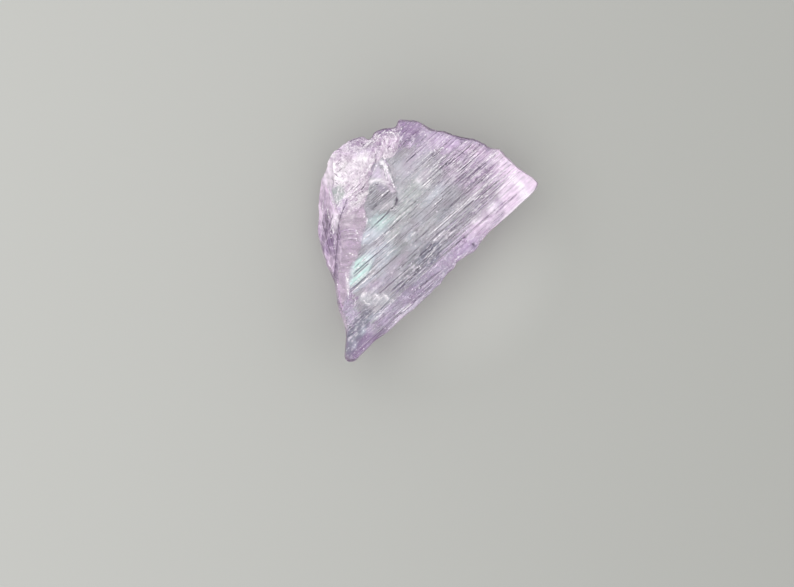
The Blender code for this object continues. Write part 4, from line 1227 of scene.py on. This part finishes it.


# ---------------------------------------------------------------- ridges, cracks and glints
# Bright lines, painted highlights along ridges, rims and edges, and pale cracks: half width in mm, then points in
# picture units.
BRIGHT = [
    # the bright ridge beside the sunk triangle
    (0.036, (382, 161.6), (385.6, 163.6), (387.4, 167.6), (388, 172), (387.6, 176)),
    (0.030, (380, 151), (379, 156), (381, 160), (384, 163)),
    (0.026, (388.5, 174), (391, 179), (393, 184), (394.5, 189)),
    (0.022, (383, 165), (384.5, 170), (386, 176), (387, 181)),
    # rim of the sunk window
    (0.026, (386, 182.6), (390, 183), (393, 185.4), (394.2, 188), (393, 190.4)),
    (0.022, (390.4, 185.6), (392, 187.4), (391, 189.8)),
    (0.020, (391.4, 192), (394, 191.4), (396.2, 191.6)),
    (0.030, (381, 197.2), (385, 194), (389, 190.6)),
    (0.024, (388, 210.4), (390.4, 208.2), (393.2, 206)),
    (0.028, (363.6, 189.6), (365.6, 187.8), (367.4, 186.4)),
    (0.026, (362.6, 196.8), (363.4, 194.6)),
    # chips near the notch
    (0.050, (385, 134.5), (389, 133), (393, 134), (395.5, 137.5), (396.8, 141)),
    (0.045, (396.8, 141), (394, 144), (391, 147.5), (390, 152)),
    (0.040, (383, 137), (381.5, 141), (383, 145), (381, 149)),
    (0.035, (386.5, 139), (388, 142), (386.5, 145.5), (384, 148)),
    (0.032, (388, 136.5), (391, 139.5), (392.5, 142)),
    (0.030, (402, 129), (400, 133), (397.5, 137)),
    (0.030, (405, 134), (402, 138), (400, 141)),
    # slanted ridge lines left of the notch
    (0.045, (388, 130), (383, 133.5), (377, 138.5), (370, 143.5), (364, 148), (359.5, 151.8)),
    (0.035, (379, 134.5), (373, 139), (367.5, 144), (363, 148)),
    (0.028, (381, 138), (376, 142), (371, 146)),
    (0.040, (375.5, 157), (372, 163), (369, 170), (365, 176)),
    (0.028, (378.5, 158), (377, 165), (374, 172)),
    # hatching along the c axis on the lower shoulder
    (0.032, (337, 204), (344, 197.5), (352, 190.5), (361, 183)),
    (0.030, (341, 204), (348, 198), (356, 191), (364, 185)),
    (0.030, (346, 203.5), (353, 197.5), (361, 191)),
    (0.028, (349, 204.5), (356, 198.5), (362, 193.5)),
    (0.026, (346, 193), (353, 187), (360, 181)),
    (0.026, (350, 187), (358, 180), (364, 175)),
    (0.046, (344.5, 196.5), (348, 193.5), (351, 190.8)),
    (0.034, (347, 199.6), (351, 196.2), (354, 193.6)),
    # left edge of the shoulder and the grey facet
    (0.040, (327.5, 185), (329, 190), (331, 196), (333.5, 203), (337, 212)),
    (0.030, (335, 210), (339, 206), (343, 201.5)),
    (0.026, (339, 186), (338, 193), (336.5, 200)),
    (0.045, (327.5, 165), (330, 159), (333.5, 153.5), (338, 149.5)),
    (0.030, (341, 163), (345, 168), (347, 174), (352, 177)),
    (0.028, (352, 160), (357, 163), (358, 168), (363, 170)),
    (0.026, (333, 170), (337, 166), (342, 166), (346, 163)),
    # pink facet and strip
    (0.055, (364.3, 213.5), (364.7, 216.5), (364.2, 219.5)),
    (0.026, (366.8, 214), (367.6, 219), (366.8, 225)),
    (0.050, (356.2, 231.8), (357.5, 233.2), (358.8, 234.8)),
    (0.040, (356, 238.6), (357.6, 239.2)),
    (0.055, (350.2, 252.6), (350.8, 254.2)),
    (0.050, (352.6, 254.4), (353.4, 255.6)),
    (0.035, (346.6, 255.4), (347.4, 256.2)),
    (0.050, (347.8, 266.8), (348.2, 268.4)),
    (0.050, (346.4, 273.6), (346.6, 275.6)),
    (0.070, (347.2, 277.4), (347.8, 280), (347.4, 282.2)),
    (0.055, (348, 284), (348.4, 286.4)),
    (0.050, (348.2, 289), (348.8, 292), (348.4, 295)),
    (0.040, (349, 297), (349.4, 300)),
    # bottom end
    (0.050, (361, 296), (364, 293.5), (367, 292.5)),
    (0.050, (375.5, 294.5), (377, 295.5), (378.4, 297.5)),
    (0.050, (384, 294.5), (386, 296), (388, 298)),
    (0.045, (364, 300), (366, 303), (370, 304)),
    (0.030, (352, 296), (356, 300), (355, 306)),
    # right end
    (0.060, (536, 189), (529, 196.5), (521, 203.5), (515, 209.5)),
    (0.050, (513, 211), (508, 215.5), (501, 221.5), (495, 226.5)),
    (0.040, (508, 177), (511, 181), (515, 185)),
    (0.045, (521, 191), (524, 194), (527, 196)),
    # flank
    (0.025, (325, 196), (323, 206), (323, 216)),
    (0.035, (329, 205), (328, 212), (330, 219)),
    (0.030, (330, 232), (333, 226), (335, 220), (340, 212)),
    (0.040, (332.5, 229), (334.5, 232), (333, 235)),
    (0.030, (328, 262), (331, 267), (333.5, 274)),
    (0.030, (335.5, 238), (334.5, 244), (335.5, 250)),
]
# Dark lines, partly cracks and partly painted shade: half width in mm, then points in picture units.
DARK = [
    (0.095, (396.4, 197.8), (397.0, 201), (396.2, 204.0), (395.0, 206.0)),
    (0.036, (382.2, 198.6), (386, 195.4), (390.2, 191.6)),
    (0.022, (366, 197.4), (371, 193.2), (376, 189)), (0.020, (366.6, 200.6), (372, 196), (377.4, 191.6)),
    (0.020, (368, 203.6), (374, 198.6), (379, 194.6)), (0.018, (370, 206), (375.6, 201.4)),
    (0.034, (370.6, 189.4), (372.6, 187.8)), (0.028, (367.6, 190.4), (369, 189.6)),
    (0.020, (376, 186), (379, 184.6)), (0.018, (384, 200.6), (388, 197.6), (392, 195)),
    (0.090, (471.6, 243.6), (473, 245.6), (474.6, 247.2)),
    (0.045, (418.6, 257.4), (421, 254.6), (424, 251.2)), (0.040, (423, 261.4), (427, 257.4), (431, 253.6)),
    (0.038, (424.6, 250.6), (428, 247.4), (432, 243.8)), (0.034, (416.6, 270.4), (419.4, 267.6), (421.6, 264.6)),
    (0.040, (474.4, 180.4), (476.6, 178.4)), (0.040, (480.6, 182.6), (482.4, 180.4)),
    (0.040, (444, 166.6), (446.6, 164.8), (448.4, 163.2)),
    (0.040, (347, 202), (344, 209), (341.5, 215), (339.5, 222), (338.4, 231)),
    (0.034, (338.4, 231), (338, 240), (337.2, 250), (336.4, 260)),
    (0.032, (336.2, 262), (335.4, 272), (334.8, 282)),
    (0.030, (334.5, 173.8), (336.5, 175.2), (338.5, 177.4)),
    (0.024, (337, 172.5), (340, 170.8), (343, 168.2)),
    (0.022, (337, 165.5), (339, 163.5), (342, 161)),
    (0.022, (335.5, 166.5), (337.5, 164)),
    (0.026, (337.5, 150.2), (340, 149.8), (342, 150.6)),
    (0.026, (332, 178.5), (334, 180.5), (336.5, 181)),
    (0.050, (361.2, 190.6), (363, 189), (364.5, 187.5)),
    (0.022, (352.6, 191.6), (358, 186.8), (363.4, 181.6)), (0.018, (348, 199.4), (355, 193.2), (361, 188)),
    (0.018, (345.4, 195), (351, 190), (356, 185.6)), (0.018, (343, 201.4), (346.6, 198.4)),
    (0.018, (352, 200.4), (357, 196), (360, 193.4)),
    (0.028, (338, 160.5), (339.6, 160)), (0.022, (340.4, 152.6), (341.4, 154.8), (341, 157)),
    (0.024, (334.8, 165.4), (337, 163.4), (339, 161.6), (341.6, 158.8)),
    (0.020, (348.6, 147), (349.6, 150), (348.8, 152)), (0.026, (366, 149.8), (368, 147.6), (371, 145)),
    (0.024, (362.4, 147.4), (364.6, 145.4), (366.6, 143.6)), (0.022, (357.6, 141.6), (359, 143.4)),
    (0.030, (366.6, 183.4), (364.6, 186.4), (362.6, 188.6)), (0.026, (358.8, 193.6), (360.6, 195.4)),
    (0.020, (353, 206.6), (357.4, 203.6), (361.4, 202.2)), (0.022, (344.4, 205), (346.6, 201.4), (347.4, 198.6)),
    (0.020, (373.8, 161), (375, 156.6), (377.4, 152.4)), (0.022, (371, 171.4), (372.8, 166.4), (374.6, 161.6)),
    (0.020, (341.8, 180), (344.6, 178.4)), (0.020, (347.4, 183), (349, 181.2)), (0.018, (352.6, 179), (354.4, 180.2)),
    (0.018, (345.6, 171.4), (347.4, 173.4)), (0.018, (356.2, 172.6), (358.6, 171)), (0.018, (350.4, 165), (352.6, 166.6)),
    (0.022, (335.4, 182), (337.4, 184.4), (339.4, 185.4)), (0.018, (342, 187.4), (344.6, 186.2)),
    (0.024, (385.6, 172.4), (385, 175), (383.8, 177)), (0.022, (383.4, 140.2), (385.4, 142.6)),
    (0.026, (387, 150.2), (389.2, 147.4), (391, 145.6)), (0.022, (390.6, 137.2), (392.2, 140)),
    (0.022, (386.4, 136.4), (388.4, 137.6)), (0.024, (378.6, 147.4), (380.6, 144.6)),
    (0.035, (362, 193), (363.5, 191.5)),
    (0.045, (360.3, 195.6), (361.2, 194.4)),
    (0.030, (376.5, 159), (375.5, 163), (374, 167)),
    (0.060, (384, 130), (386, 129.6), (388, 129.8)),
    (0.040, (379, 132.2), (382, 131), (385, 130.8)),
    (0.050, (361, 144.2), (362.4, 145), (364, 144.6)),
    (0.035, (355.8, 144), (356.6, 144.8)),
    (0.030, (349, 143.2), (353, 140.6), (358, 139.2), (362, 138.8)),
    (0.050, (388.6, 143.4), (389.6, 144)),
    (0.045, (389.8, 147.4), (390.6, 148.4)),
    (0.040, (388, 151.4), (389, 152.4)),
    (0.035, (383.6, 140.6), (384.6, 141.4)),
    (0.030, (392.6, 137.8), (393.4, 139.2)),
    (0.030, (396, 124), (397.5, 121.5), (401, 120.6)),
    (0.030, (425, 127), (428, 128.8), (432, 130.3)),
    (0.060, (445, 133.2), (452, 135.5), (458, 137.4), (464, 139.2), (470, 139.8), (476, 141.6)),
    (0.040, (455, 138.6), (460, 140.6), (466, 141.6)),
    (0.040, (484, 145), (486, 147)),
    (0.040, (489, 148.8), (492, 150)),
    (0.026, (452.7, 148.4), (458.4, 152.4), (465, 155.5)),
    (0.050, (475, 179.5), (476.5, 181.5)),
    (0.045, (484, 168.5), (486.5, 172.5)),
    (0.040, (477, 166.5), (478.5, 168.5)),
    (0.034, (379, 201.6), (381, 201.9), (383.4, 201.6)),
    (0.026, (374.5, 208.5), (377, 206.3), (380, 204.6)),
    (0.026, (371.5, 211.5), (374, 209.4)),
    (0.026, (333, 226), (331, 234), (332, 243)),
    (0.024, (328, 222), (326, 232), (328, 244), (331, 254)),
    (0.026, (324, 214), (323, 224), (325, 232)),
    (0.030, (334, 214), (331, 222), (329, 230)),
]
# Arcs of the shell-shaped break on the pink facet: radius in picture units round (351, 263). The arcs go in turn to the
# dark and the bright lines, as painted shade and painted highlight on the ripples.
for k, r in enumerate((23.0, 24.6, 27.1, 29.0, 31.8, 33.0)):
    arc = [
        (351 + r * math.cos(math.radians(d)) * 0.86, 263 - r * math.sin(math.radians(d)))
        for d in np.linspace(112 - k * 0.8, 66 + k * 0.7, 9)
    ]
    (BRIGHT if k % 2 else DARK).append((0.012 if k % 2 else 0.011, *arc))

above_all = None


def surface_at(x, y):
    """The upper surface's point and normal over x, y, or None."""
    hit, normal, face, _ = above_all.ray_cast(Vector((x, y, 0.02)), Vector((0, 0, -1)))
    return (hit, normal, int(zone[face])) if hit else None


def ribbons(name, table, height, material, seed, jitter=0.14, uneven=(0.45, 1.3), only=None):
    """Thin leaf-shaped edges that follow the surface, on all of it or on some zones only."""
    rng = np.random.default_rng(seed)
    points, faces = [], []
    for half, *path in table:
        path = np.array(path, float)
        run = np.concatenate([[0], np.cumsum(np.hypot(*np.diff(path, axis=0).T))])
        steps = max(4, int(run[-1] * PX / (0.07 * MM)))
        t = np.linspace(0, run[-1], steps)
        px, py = np.interp(t, run, path[:, 0]), np.interp(t, run, path[:, 1])
        px += rng.normal(0, jitter, steps)
        py += rng.normal(0, jitter, steps)
        x, y = place(px, py)
        dx, dy = np.gradient(x), np.gradient(y)
        size = np.hypot(dx, dy) + 1e-12
        swell = np.sin(np.linspace(0.12, math.pi - 0.12, steps)) ** 0.5 * rng.uniform(*uneven, steps)
        before = None
        for k in range(steps):
            ends = []
            for side in (-1, 1):
                ox = -dy[k] / size[k] * half * MM * swell[k] * side
                oy = dx[k] / size[k] * half * MM * swell[k] * side
                found = surface_at(x[k] + ox, y[k] + oy)
                if found is None or (only and found[2] not in only):
                    break
                ends.append(found[0] + found[1] * height * MM)
            if len(ends) < 2:
                before = None
                continue
            n = len(points)
            points += ends
            if before is not None and abs(ends[0].z - points[before].z) < 0.25 * MM:
                faces.append((before, before + 1, n + 1, n))
            before = n
    return riding(name, points, faces, material)


def straight(u0, u1, at, half):
    """A growth line as a ribbon's half width and its points in picture units."""
    ends = []
    for u in np.linspace(u0, u1, 3):
        x, y = from_c(u, at - LEAN * (u - (u0 + u1) / 2))
        ends.append((MID[0] + x * MM / PX, MID[1] - y * MM / PX))
    return (half, *ends)


def growth_lines(seed, count, half_low, half_high, length):
    """Fine growth lines scattered where the face is lively."""
    rng = np.random.default_rng(seed)
    table = []
    while len(table) < count:
        u, v = rng.uniform(-9.5, 9.5), rng.uniform(-3.2, 7.6)
        if rng.random() > 0.05 + blots(np.array([u]), np.array([v]), LIVELY)[0]:
            continue
        long = rng.gamma(2.0, length / 2) + 0.25
        table.append(straight(u - long / 2, u + long / 2, v, rng.uniform(half_low, half_high)))
    return table


def riding(name, points, faces, material):
    used = sorted({k for f in faces for k in f})
    new = {k: n for n, k in enumerate(used)}
    mesh = bpy.data.meshes.new(name)
    mesh.from_pydata([tuple(points[k]) for k in used], [], [tuple(new[k] for k in f) for f in faces])
    mesh.materials.append(material)
    made = bpy.data.objects.new(name, mesh)
    bpy.context.scene.collection.objects.link(made)
    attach(made, "root")
    return made


def flecks(name, count, material, seed):
    """Tiny bright painted glints on the main face, standing in for cleavages catching the light, most along the growth
    lines.
    """
    rng = np.random.default_rng(seed)
    lines = CRESTS + CUTS[::2]
    points, faces = [], []
    while len(faces) < count:
        if rng.random() < 0.55:
            u0, u1, at, _, _ = lines[rng.integers(len(lines))]
            u = rng.uniform(u0, u1)
            v = at - LEAN * (u - (u0 + u1) / 2) + rng.normal(0, 0.07)
        else:
            u, v = rng.uniform(-10, 8.5), rng.uniform(-3, 8)
        x, y = from_c(u * MM, v * MM)
        found = surface_at(x, y)
        if found is None:
            continue
        hit, normal, _ = found
        long, wide = rng.uniform(0.02, 0.075) * MM, rng.uniform(0.015, 0.034) * MM
        turn = rng.normal(math.radians(C_AXIS_DEG), 0.35)
        a, b = Vector((math.cos(turn), math.sin(turn), 0)), Vector((-math.sin(turn), math.cos(turn), 0))
        middle = hit + normal * 0.030 * MM
        n = len(points)
        points += [middle + a * long, middle + b * wide, middle - a * long, middle - b * wide]
        faces.append((n, n + 1, n + 2, n + 3))
    return riding(name, points, faces, material)


def specks(name, table, height, material, seed):
    """Small bright six-sided painted glints at listed places."""
    rng = np.random.default_rng(seed)
    points, faces = [], []
    for px, py, radius in table:
        x, y = place(px, py)
        found = surface_at(x, y)
        if found is None:
            continue
        hit, normal, _ = found
        first = len(points)
        turn = rng.uniform(0, 2 * math.pi)
        for k in range(6):
            r = 0.62 * radius * PX * rng.uniform(0.7, 1.25)
            a = turn + k * math.pi / 3
            over = surface_at(x + r * math.cos(a), y + r * math.sin(a))
            spot = over[0] if over and abs(over[0].z - hit.z) < 0.08 * MM else hit + Vector((r * math.cos(a), r * math.sin(a), 0))
            points.append(spot + normal * height * MM)
        faces.append(tuple(range(first, first + 6)))
    return riding(name, points, faces, material)


def edge_material(name, colour, low, high, roughness):
    made, t = film_material(name)
    shader = t.tree.nodes["Principled BSDF"]
    grain = t.noise(t.place(), 8000.0, 2.0, 0.5)
    t.feed(shader.inputs["Alpha"], t.ease(grain, 0.40, 0.60, low, high))
    shader.inputs["Base Color"].default_value = (*colour, 1)
    shader.inputs["Roughness"].default_value = roughness
    return made


mesh.materials.append(crystal_material())
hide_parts("kunzite_crystal")
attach(crystal, "root")

LIFT = 0.012
keep_patches(skin("striated_skin", {FACE, STEP}, LIFT, face_skin()), True)
keep_patches(skin(
    "shoulder_skin", {SHOULDER_ZONE, CHIP}, LIFT,
    frost_skin(
        "shoulder_skin", (1.0, 0.94, 0.99), (0.84, 0.66, 0.86), (0.15, 0.09, 0.17), 0.26, 0.42, 3300.0,
        shaded=0.16, crackle=0.30, curl=0.52,
    ),
))
keep_patches(skin(
    "strip_skin", {STRIP_ZONE}, LIFT,
    frost_skin(
        "strip_skin", (0.94, 0.76, 0.94), (0.80, 0.60, 0.82), (0.18, 0.10, 0.20), 0.10, 0.22, 2600.0,
        (1, 2.2, 1), shaded=0.10, crackle=0.05, curl=0.08,
    ),
))
keep_patches(skin(
    "flank_skin", {FLANK_ZONE}, LIFT,
    frost_skin(
        "flank_skin", (0.90, 0.74, 0.94), (0.60, 0.40, 0.70), (0.12, 0.065, 0.16), 0.06, 0.26, 2600.0,
        (1, 0.30, 0.5), shaded=0.50, turn=-14.0, crackle=0.22, curl=0.30,
    ),
))
keep_patches(skin(
    "edge_skin", {BROKEN, PRISM}, LIFT,
    frost_skin(
        "edge_skin", (1.0, 0.86, 1.0), (0.88, 0.66, 0.94), (0.16, 0.09, 0.20), 0.03, 0.20, 2000.0,
        shaded=0.30, crackle=0.10,
    ),
))
from mathutils.bvhtree import BVHTree

above_all = BVHTree.FromObject(crystal, bpy.context.evaluated_depsgraph_get())
# painted highlights on ridges and edges, and pale cracks
ribbons("painted_edge_highlights_and_cracks", BRIGHT, 0.026, edge_material("edge_highlight_and_crack_paint", (1.0, 0.96, 1.0), 0.25, 0.85, 0.35), 3, 0.07)
# cracks, and painted shade on the ripples of the shell-shaped break
ribbons("cracks_and_painted_shade", DARK, 0.023, edge_material("crack_and_shade_paint", (0.07, 0.045, 0.09), 0.40, 0.90, 0.4), 4, 0.07)
MAIN = {FACE, STEP}
# the listed grooves get painted shade and the listed crests a painted highlight
groove_shade_table = [straight(u0, u1, at, min(0.042, wide * 0.62) * min(1.0, deep / 0.045)) for u0, u1, at, deep, wide in CUTS]
crest_highlight_table = [straight(u0, u1, at, min(0.040, wide * 0.60)) for u0, u1, at, deep, wide in CRESTS]
ribbons("painted_groove_shade", groove_shade_table, 0.022, edge_material("groove_shade_paint", (0.05, 0.045, 0.08), 0.50, 0.92, 0.4), 7, 0.05, (0.6, 1.2), MAIN)
ribbons("painted_crest_highlights", crest_highlight_table, 0.025, edge_material("crest_highlight_paint", (1.0, 0.96, 1.0), 0.30, 0.80, 0.4), 8, 0.05, (0.5, 1.2), MAIN)
# fine dark and bright lines where the face is lively: painted shade and painted highlight of fine growth lines
ribbons(
    "painted_fine_line_shade", growth_lines(21, 330, 0.010, 0.020, 1.8), 0.020,
    edge_material("fine_line_shade_paint", (0.09, 0.06, 0.11), 0.25, 0.72, 0.4), 9, 0.03, (0.6, 1.2), MAIN,
)
ribbons(
    "painted_fine_line_highlights", growth_lines(22, 300, 0.009, 0.017, 1.4), 0.024,
    edge_material("fine_line_highlight_paint", (1.0, 0.95, 1.0), 0.15, 0.60, 0.4), 10, 0.03, (0.6, 1.2), MAIN,
)
# fine close hatching on the floor of the sunk window and triangle, dark lines with bright ones just beside them:
# painted shade and painted highlight on fine striae
for name, colour, low, high, seed, offset in (
    ("hatch_shade_paint", (0.06, 0.055, 0.08), 0.30, 0.70, 13, 0.0),
    ("hatch_highlight_paint", (1.0, 0.97, 1.0), 0.15, 0.55, 14, 0.06),
):
    rng = np.random.default_rng(seed)
    hatch = [
        straight(rng.uniform(-1.9, -0.9), rng.uniform(-0.2, 1.2), v + rng.normal(0, 0.015), rng.uniform(0.010, 0.017))
        for v in np.arange(3.35 + offset, 5.75, 0.13)
    ]
    ribbons(name, hatch, 0.021, edge_material(name, colour, low, high, 0.4), seed, 0.03, (0.6, 1.2), {STEP})
# painted glints
flecks("glints", 520, edge_material("glint", (1.0, 0.98, 1.0), 0.35, 0.85, 0.3), 6)
# painted glints
specks("specks", SPECKS, 0.030, edge_material("speck", (1.0, 0.97, 1.0), 0.55, 0.90, 0.3), 12)
print("pieces done")

# ---------------------------------------------------------------- floor, light and camera
floor_mesh = bpy.data.meshes.new("floor")
size = 1.2
floor_mesh.from_pydata(
    [(-size, -size, -0.0001), (size, -size, -0.0001), (size, size, -0.0001), (-size, size, -0.0001)],
    [],
    [(0, 1, 2, 3)],
)
floor = bpy.data.objects.new("floor", floor_mesh)
bpy.context.scene.collection.objects.link(floor)
grey = bpy.data.materials.new("floor")
grey.use_nodes = True
paper = grey.node_tree.nodes["Principled BSDF"]
paper_tree = Tree(grey)
# painted light on the floor: the gradient along X makes it lighter on the left and darker on the right
level_across = paper_tree.node("ShaderNodeSeparateXYZ", {"Vector": paper_tree.place()}).outputs["X"]
from_middle = paper_tree.node(
    "ShaderNodeVectorMath", {0: paper_tree.place()}, operation="LENGTH"
).outputs["Value"]
shade = paper_tree.ease(level_across, -0.055, 0.050)
# the floor is also painted lighter within 5 mm of the middle, fading out by 11.5 mm: painted light that cancels most of
# the crystal's contact shadow
paper_tree.feed(
    paper.inputs["Base Color"],
    paper_tree.mix(
        paper_tree.ease(from_middle, 0.0115, 0.0050),
        paper_tree.mix(shade, (0.440, 0.442, 0.424), (0.334, 0.336, 0.320)),
        paper_tree.mix(shade, (0.520, 0.522, 0.501), (0.398, 0.400, 0.381)),
    ),
)
paper.inputs["Roughness"].default_value = 0.9
paper.inputs["Specular IOR Level"].default_value = 0.1
floor_mesh.materials.append(grey)

world = bpy.data.worlds.new("studio")
bpy.context.scene.world = world
world.use_nodes = True
background = world.node_tree.nodes["Background"]
background.inputs["Color"].default_value = (1.0, 1.0, 0.995, 1)
# a soft box overhead, dimmer towards the horizon
sky = Tree(world)
height_up = sky.node(
    "ShaderNodeSeparateXYZ", {"Vector": sky.node("ShaderNodeTexCoord").outputs["Generated"]}
).outputs["Z"]
up = sky.math("MAXIMUM", height_up, 0.0)
sky.feed(background.inputs["Strength"], sky.math("MULTIPLY_ADD", up, 1.26, 0.40))


def soft_light(name, at, size, power, colour=(1, 1, 1)):
    data = bpy.data.lights.new(name, "AREA")
    data.shape = "DISK"
    data.size = size
    data.energy = power
    data.color = colour
    made = bpy.data.objects.new(name, data)
    bpy.context.scene.collection.objects.link(made)
    made.location = at
    made.rotation_euler = Vector(at).to_track_quat("Z", "Y").to_euler()
    made.visible_camera = False
    return made


soft_light("key", (-0.16, 0.08, 0.26), 0.34, 0.17)

camera_data = bpy.data.cameras.new("camera")
camera = bpy.data.objects.new("camera", camera_data)
bpy.context.scene.collection.objects.link(camera)
distance = 0.30
cx, cy = place(397, 293.5)
camera.location = (cx, cy, distance + 0.0026)
camera.rotation_euler = (0, 0, 0)
camera_data.sensor_width = 36
camera_data.sensor_fit = "HORIZONTAL"
camera_data.lens = 36 * distance / (794 * PX)
camera_data.clip_start = 0.005
camera_data.clip_end = 10
bpy.context.scene.camera = camera

scene = bpy.context.scene
scene.view_settings.view_transform = "Standard"
scene.cycles.max_bounces = 32
scene.cycles.transmission_bounces = 28
scene.cycles.glossy_bounces = 12
scene.cycles.diffuse_bounces = 6
scene.cycles.transparent_max_bounces = 32
scene.cycles.volume_bounces = 0
scene.cycles.caustics_reflective = True
scene.cycles.caustics_refractive = True
scene.cycles.blur_glossy = 0.3
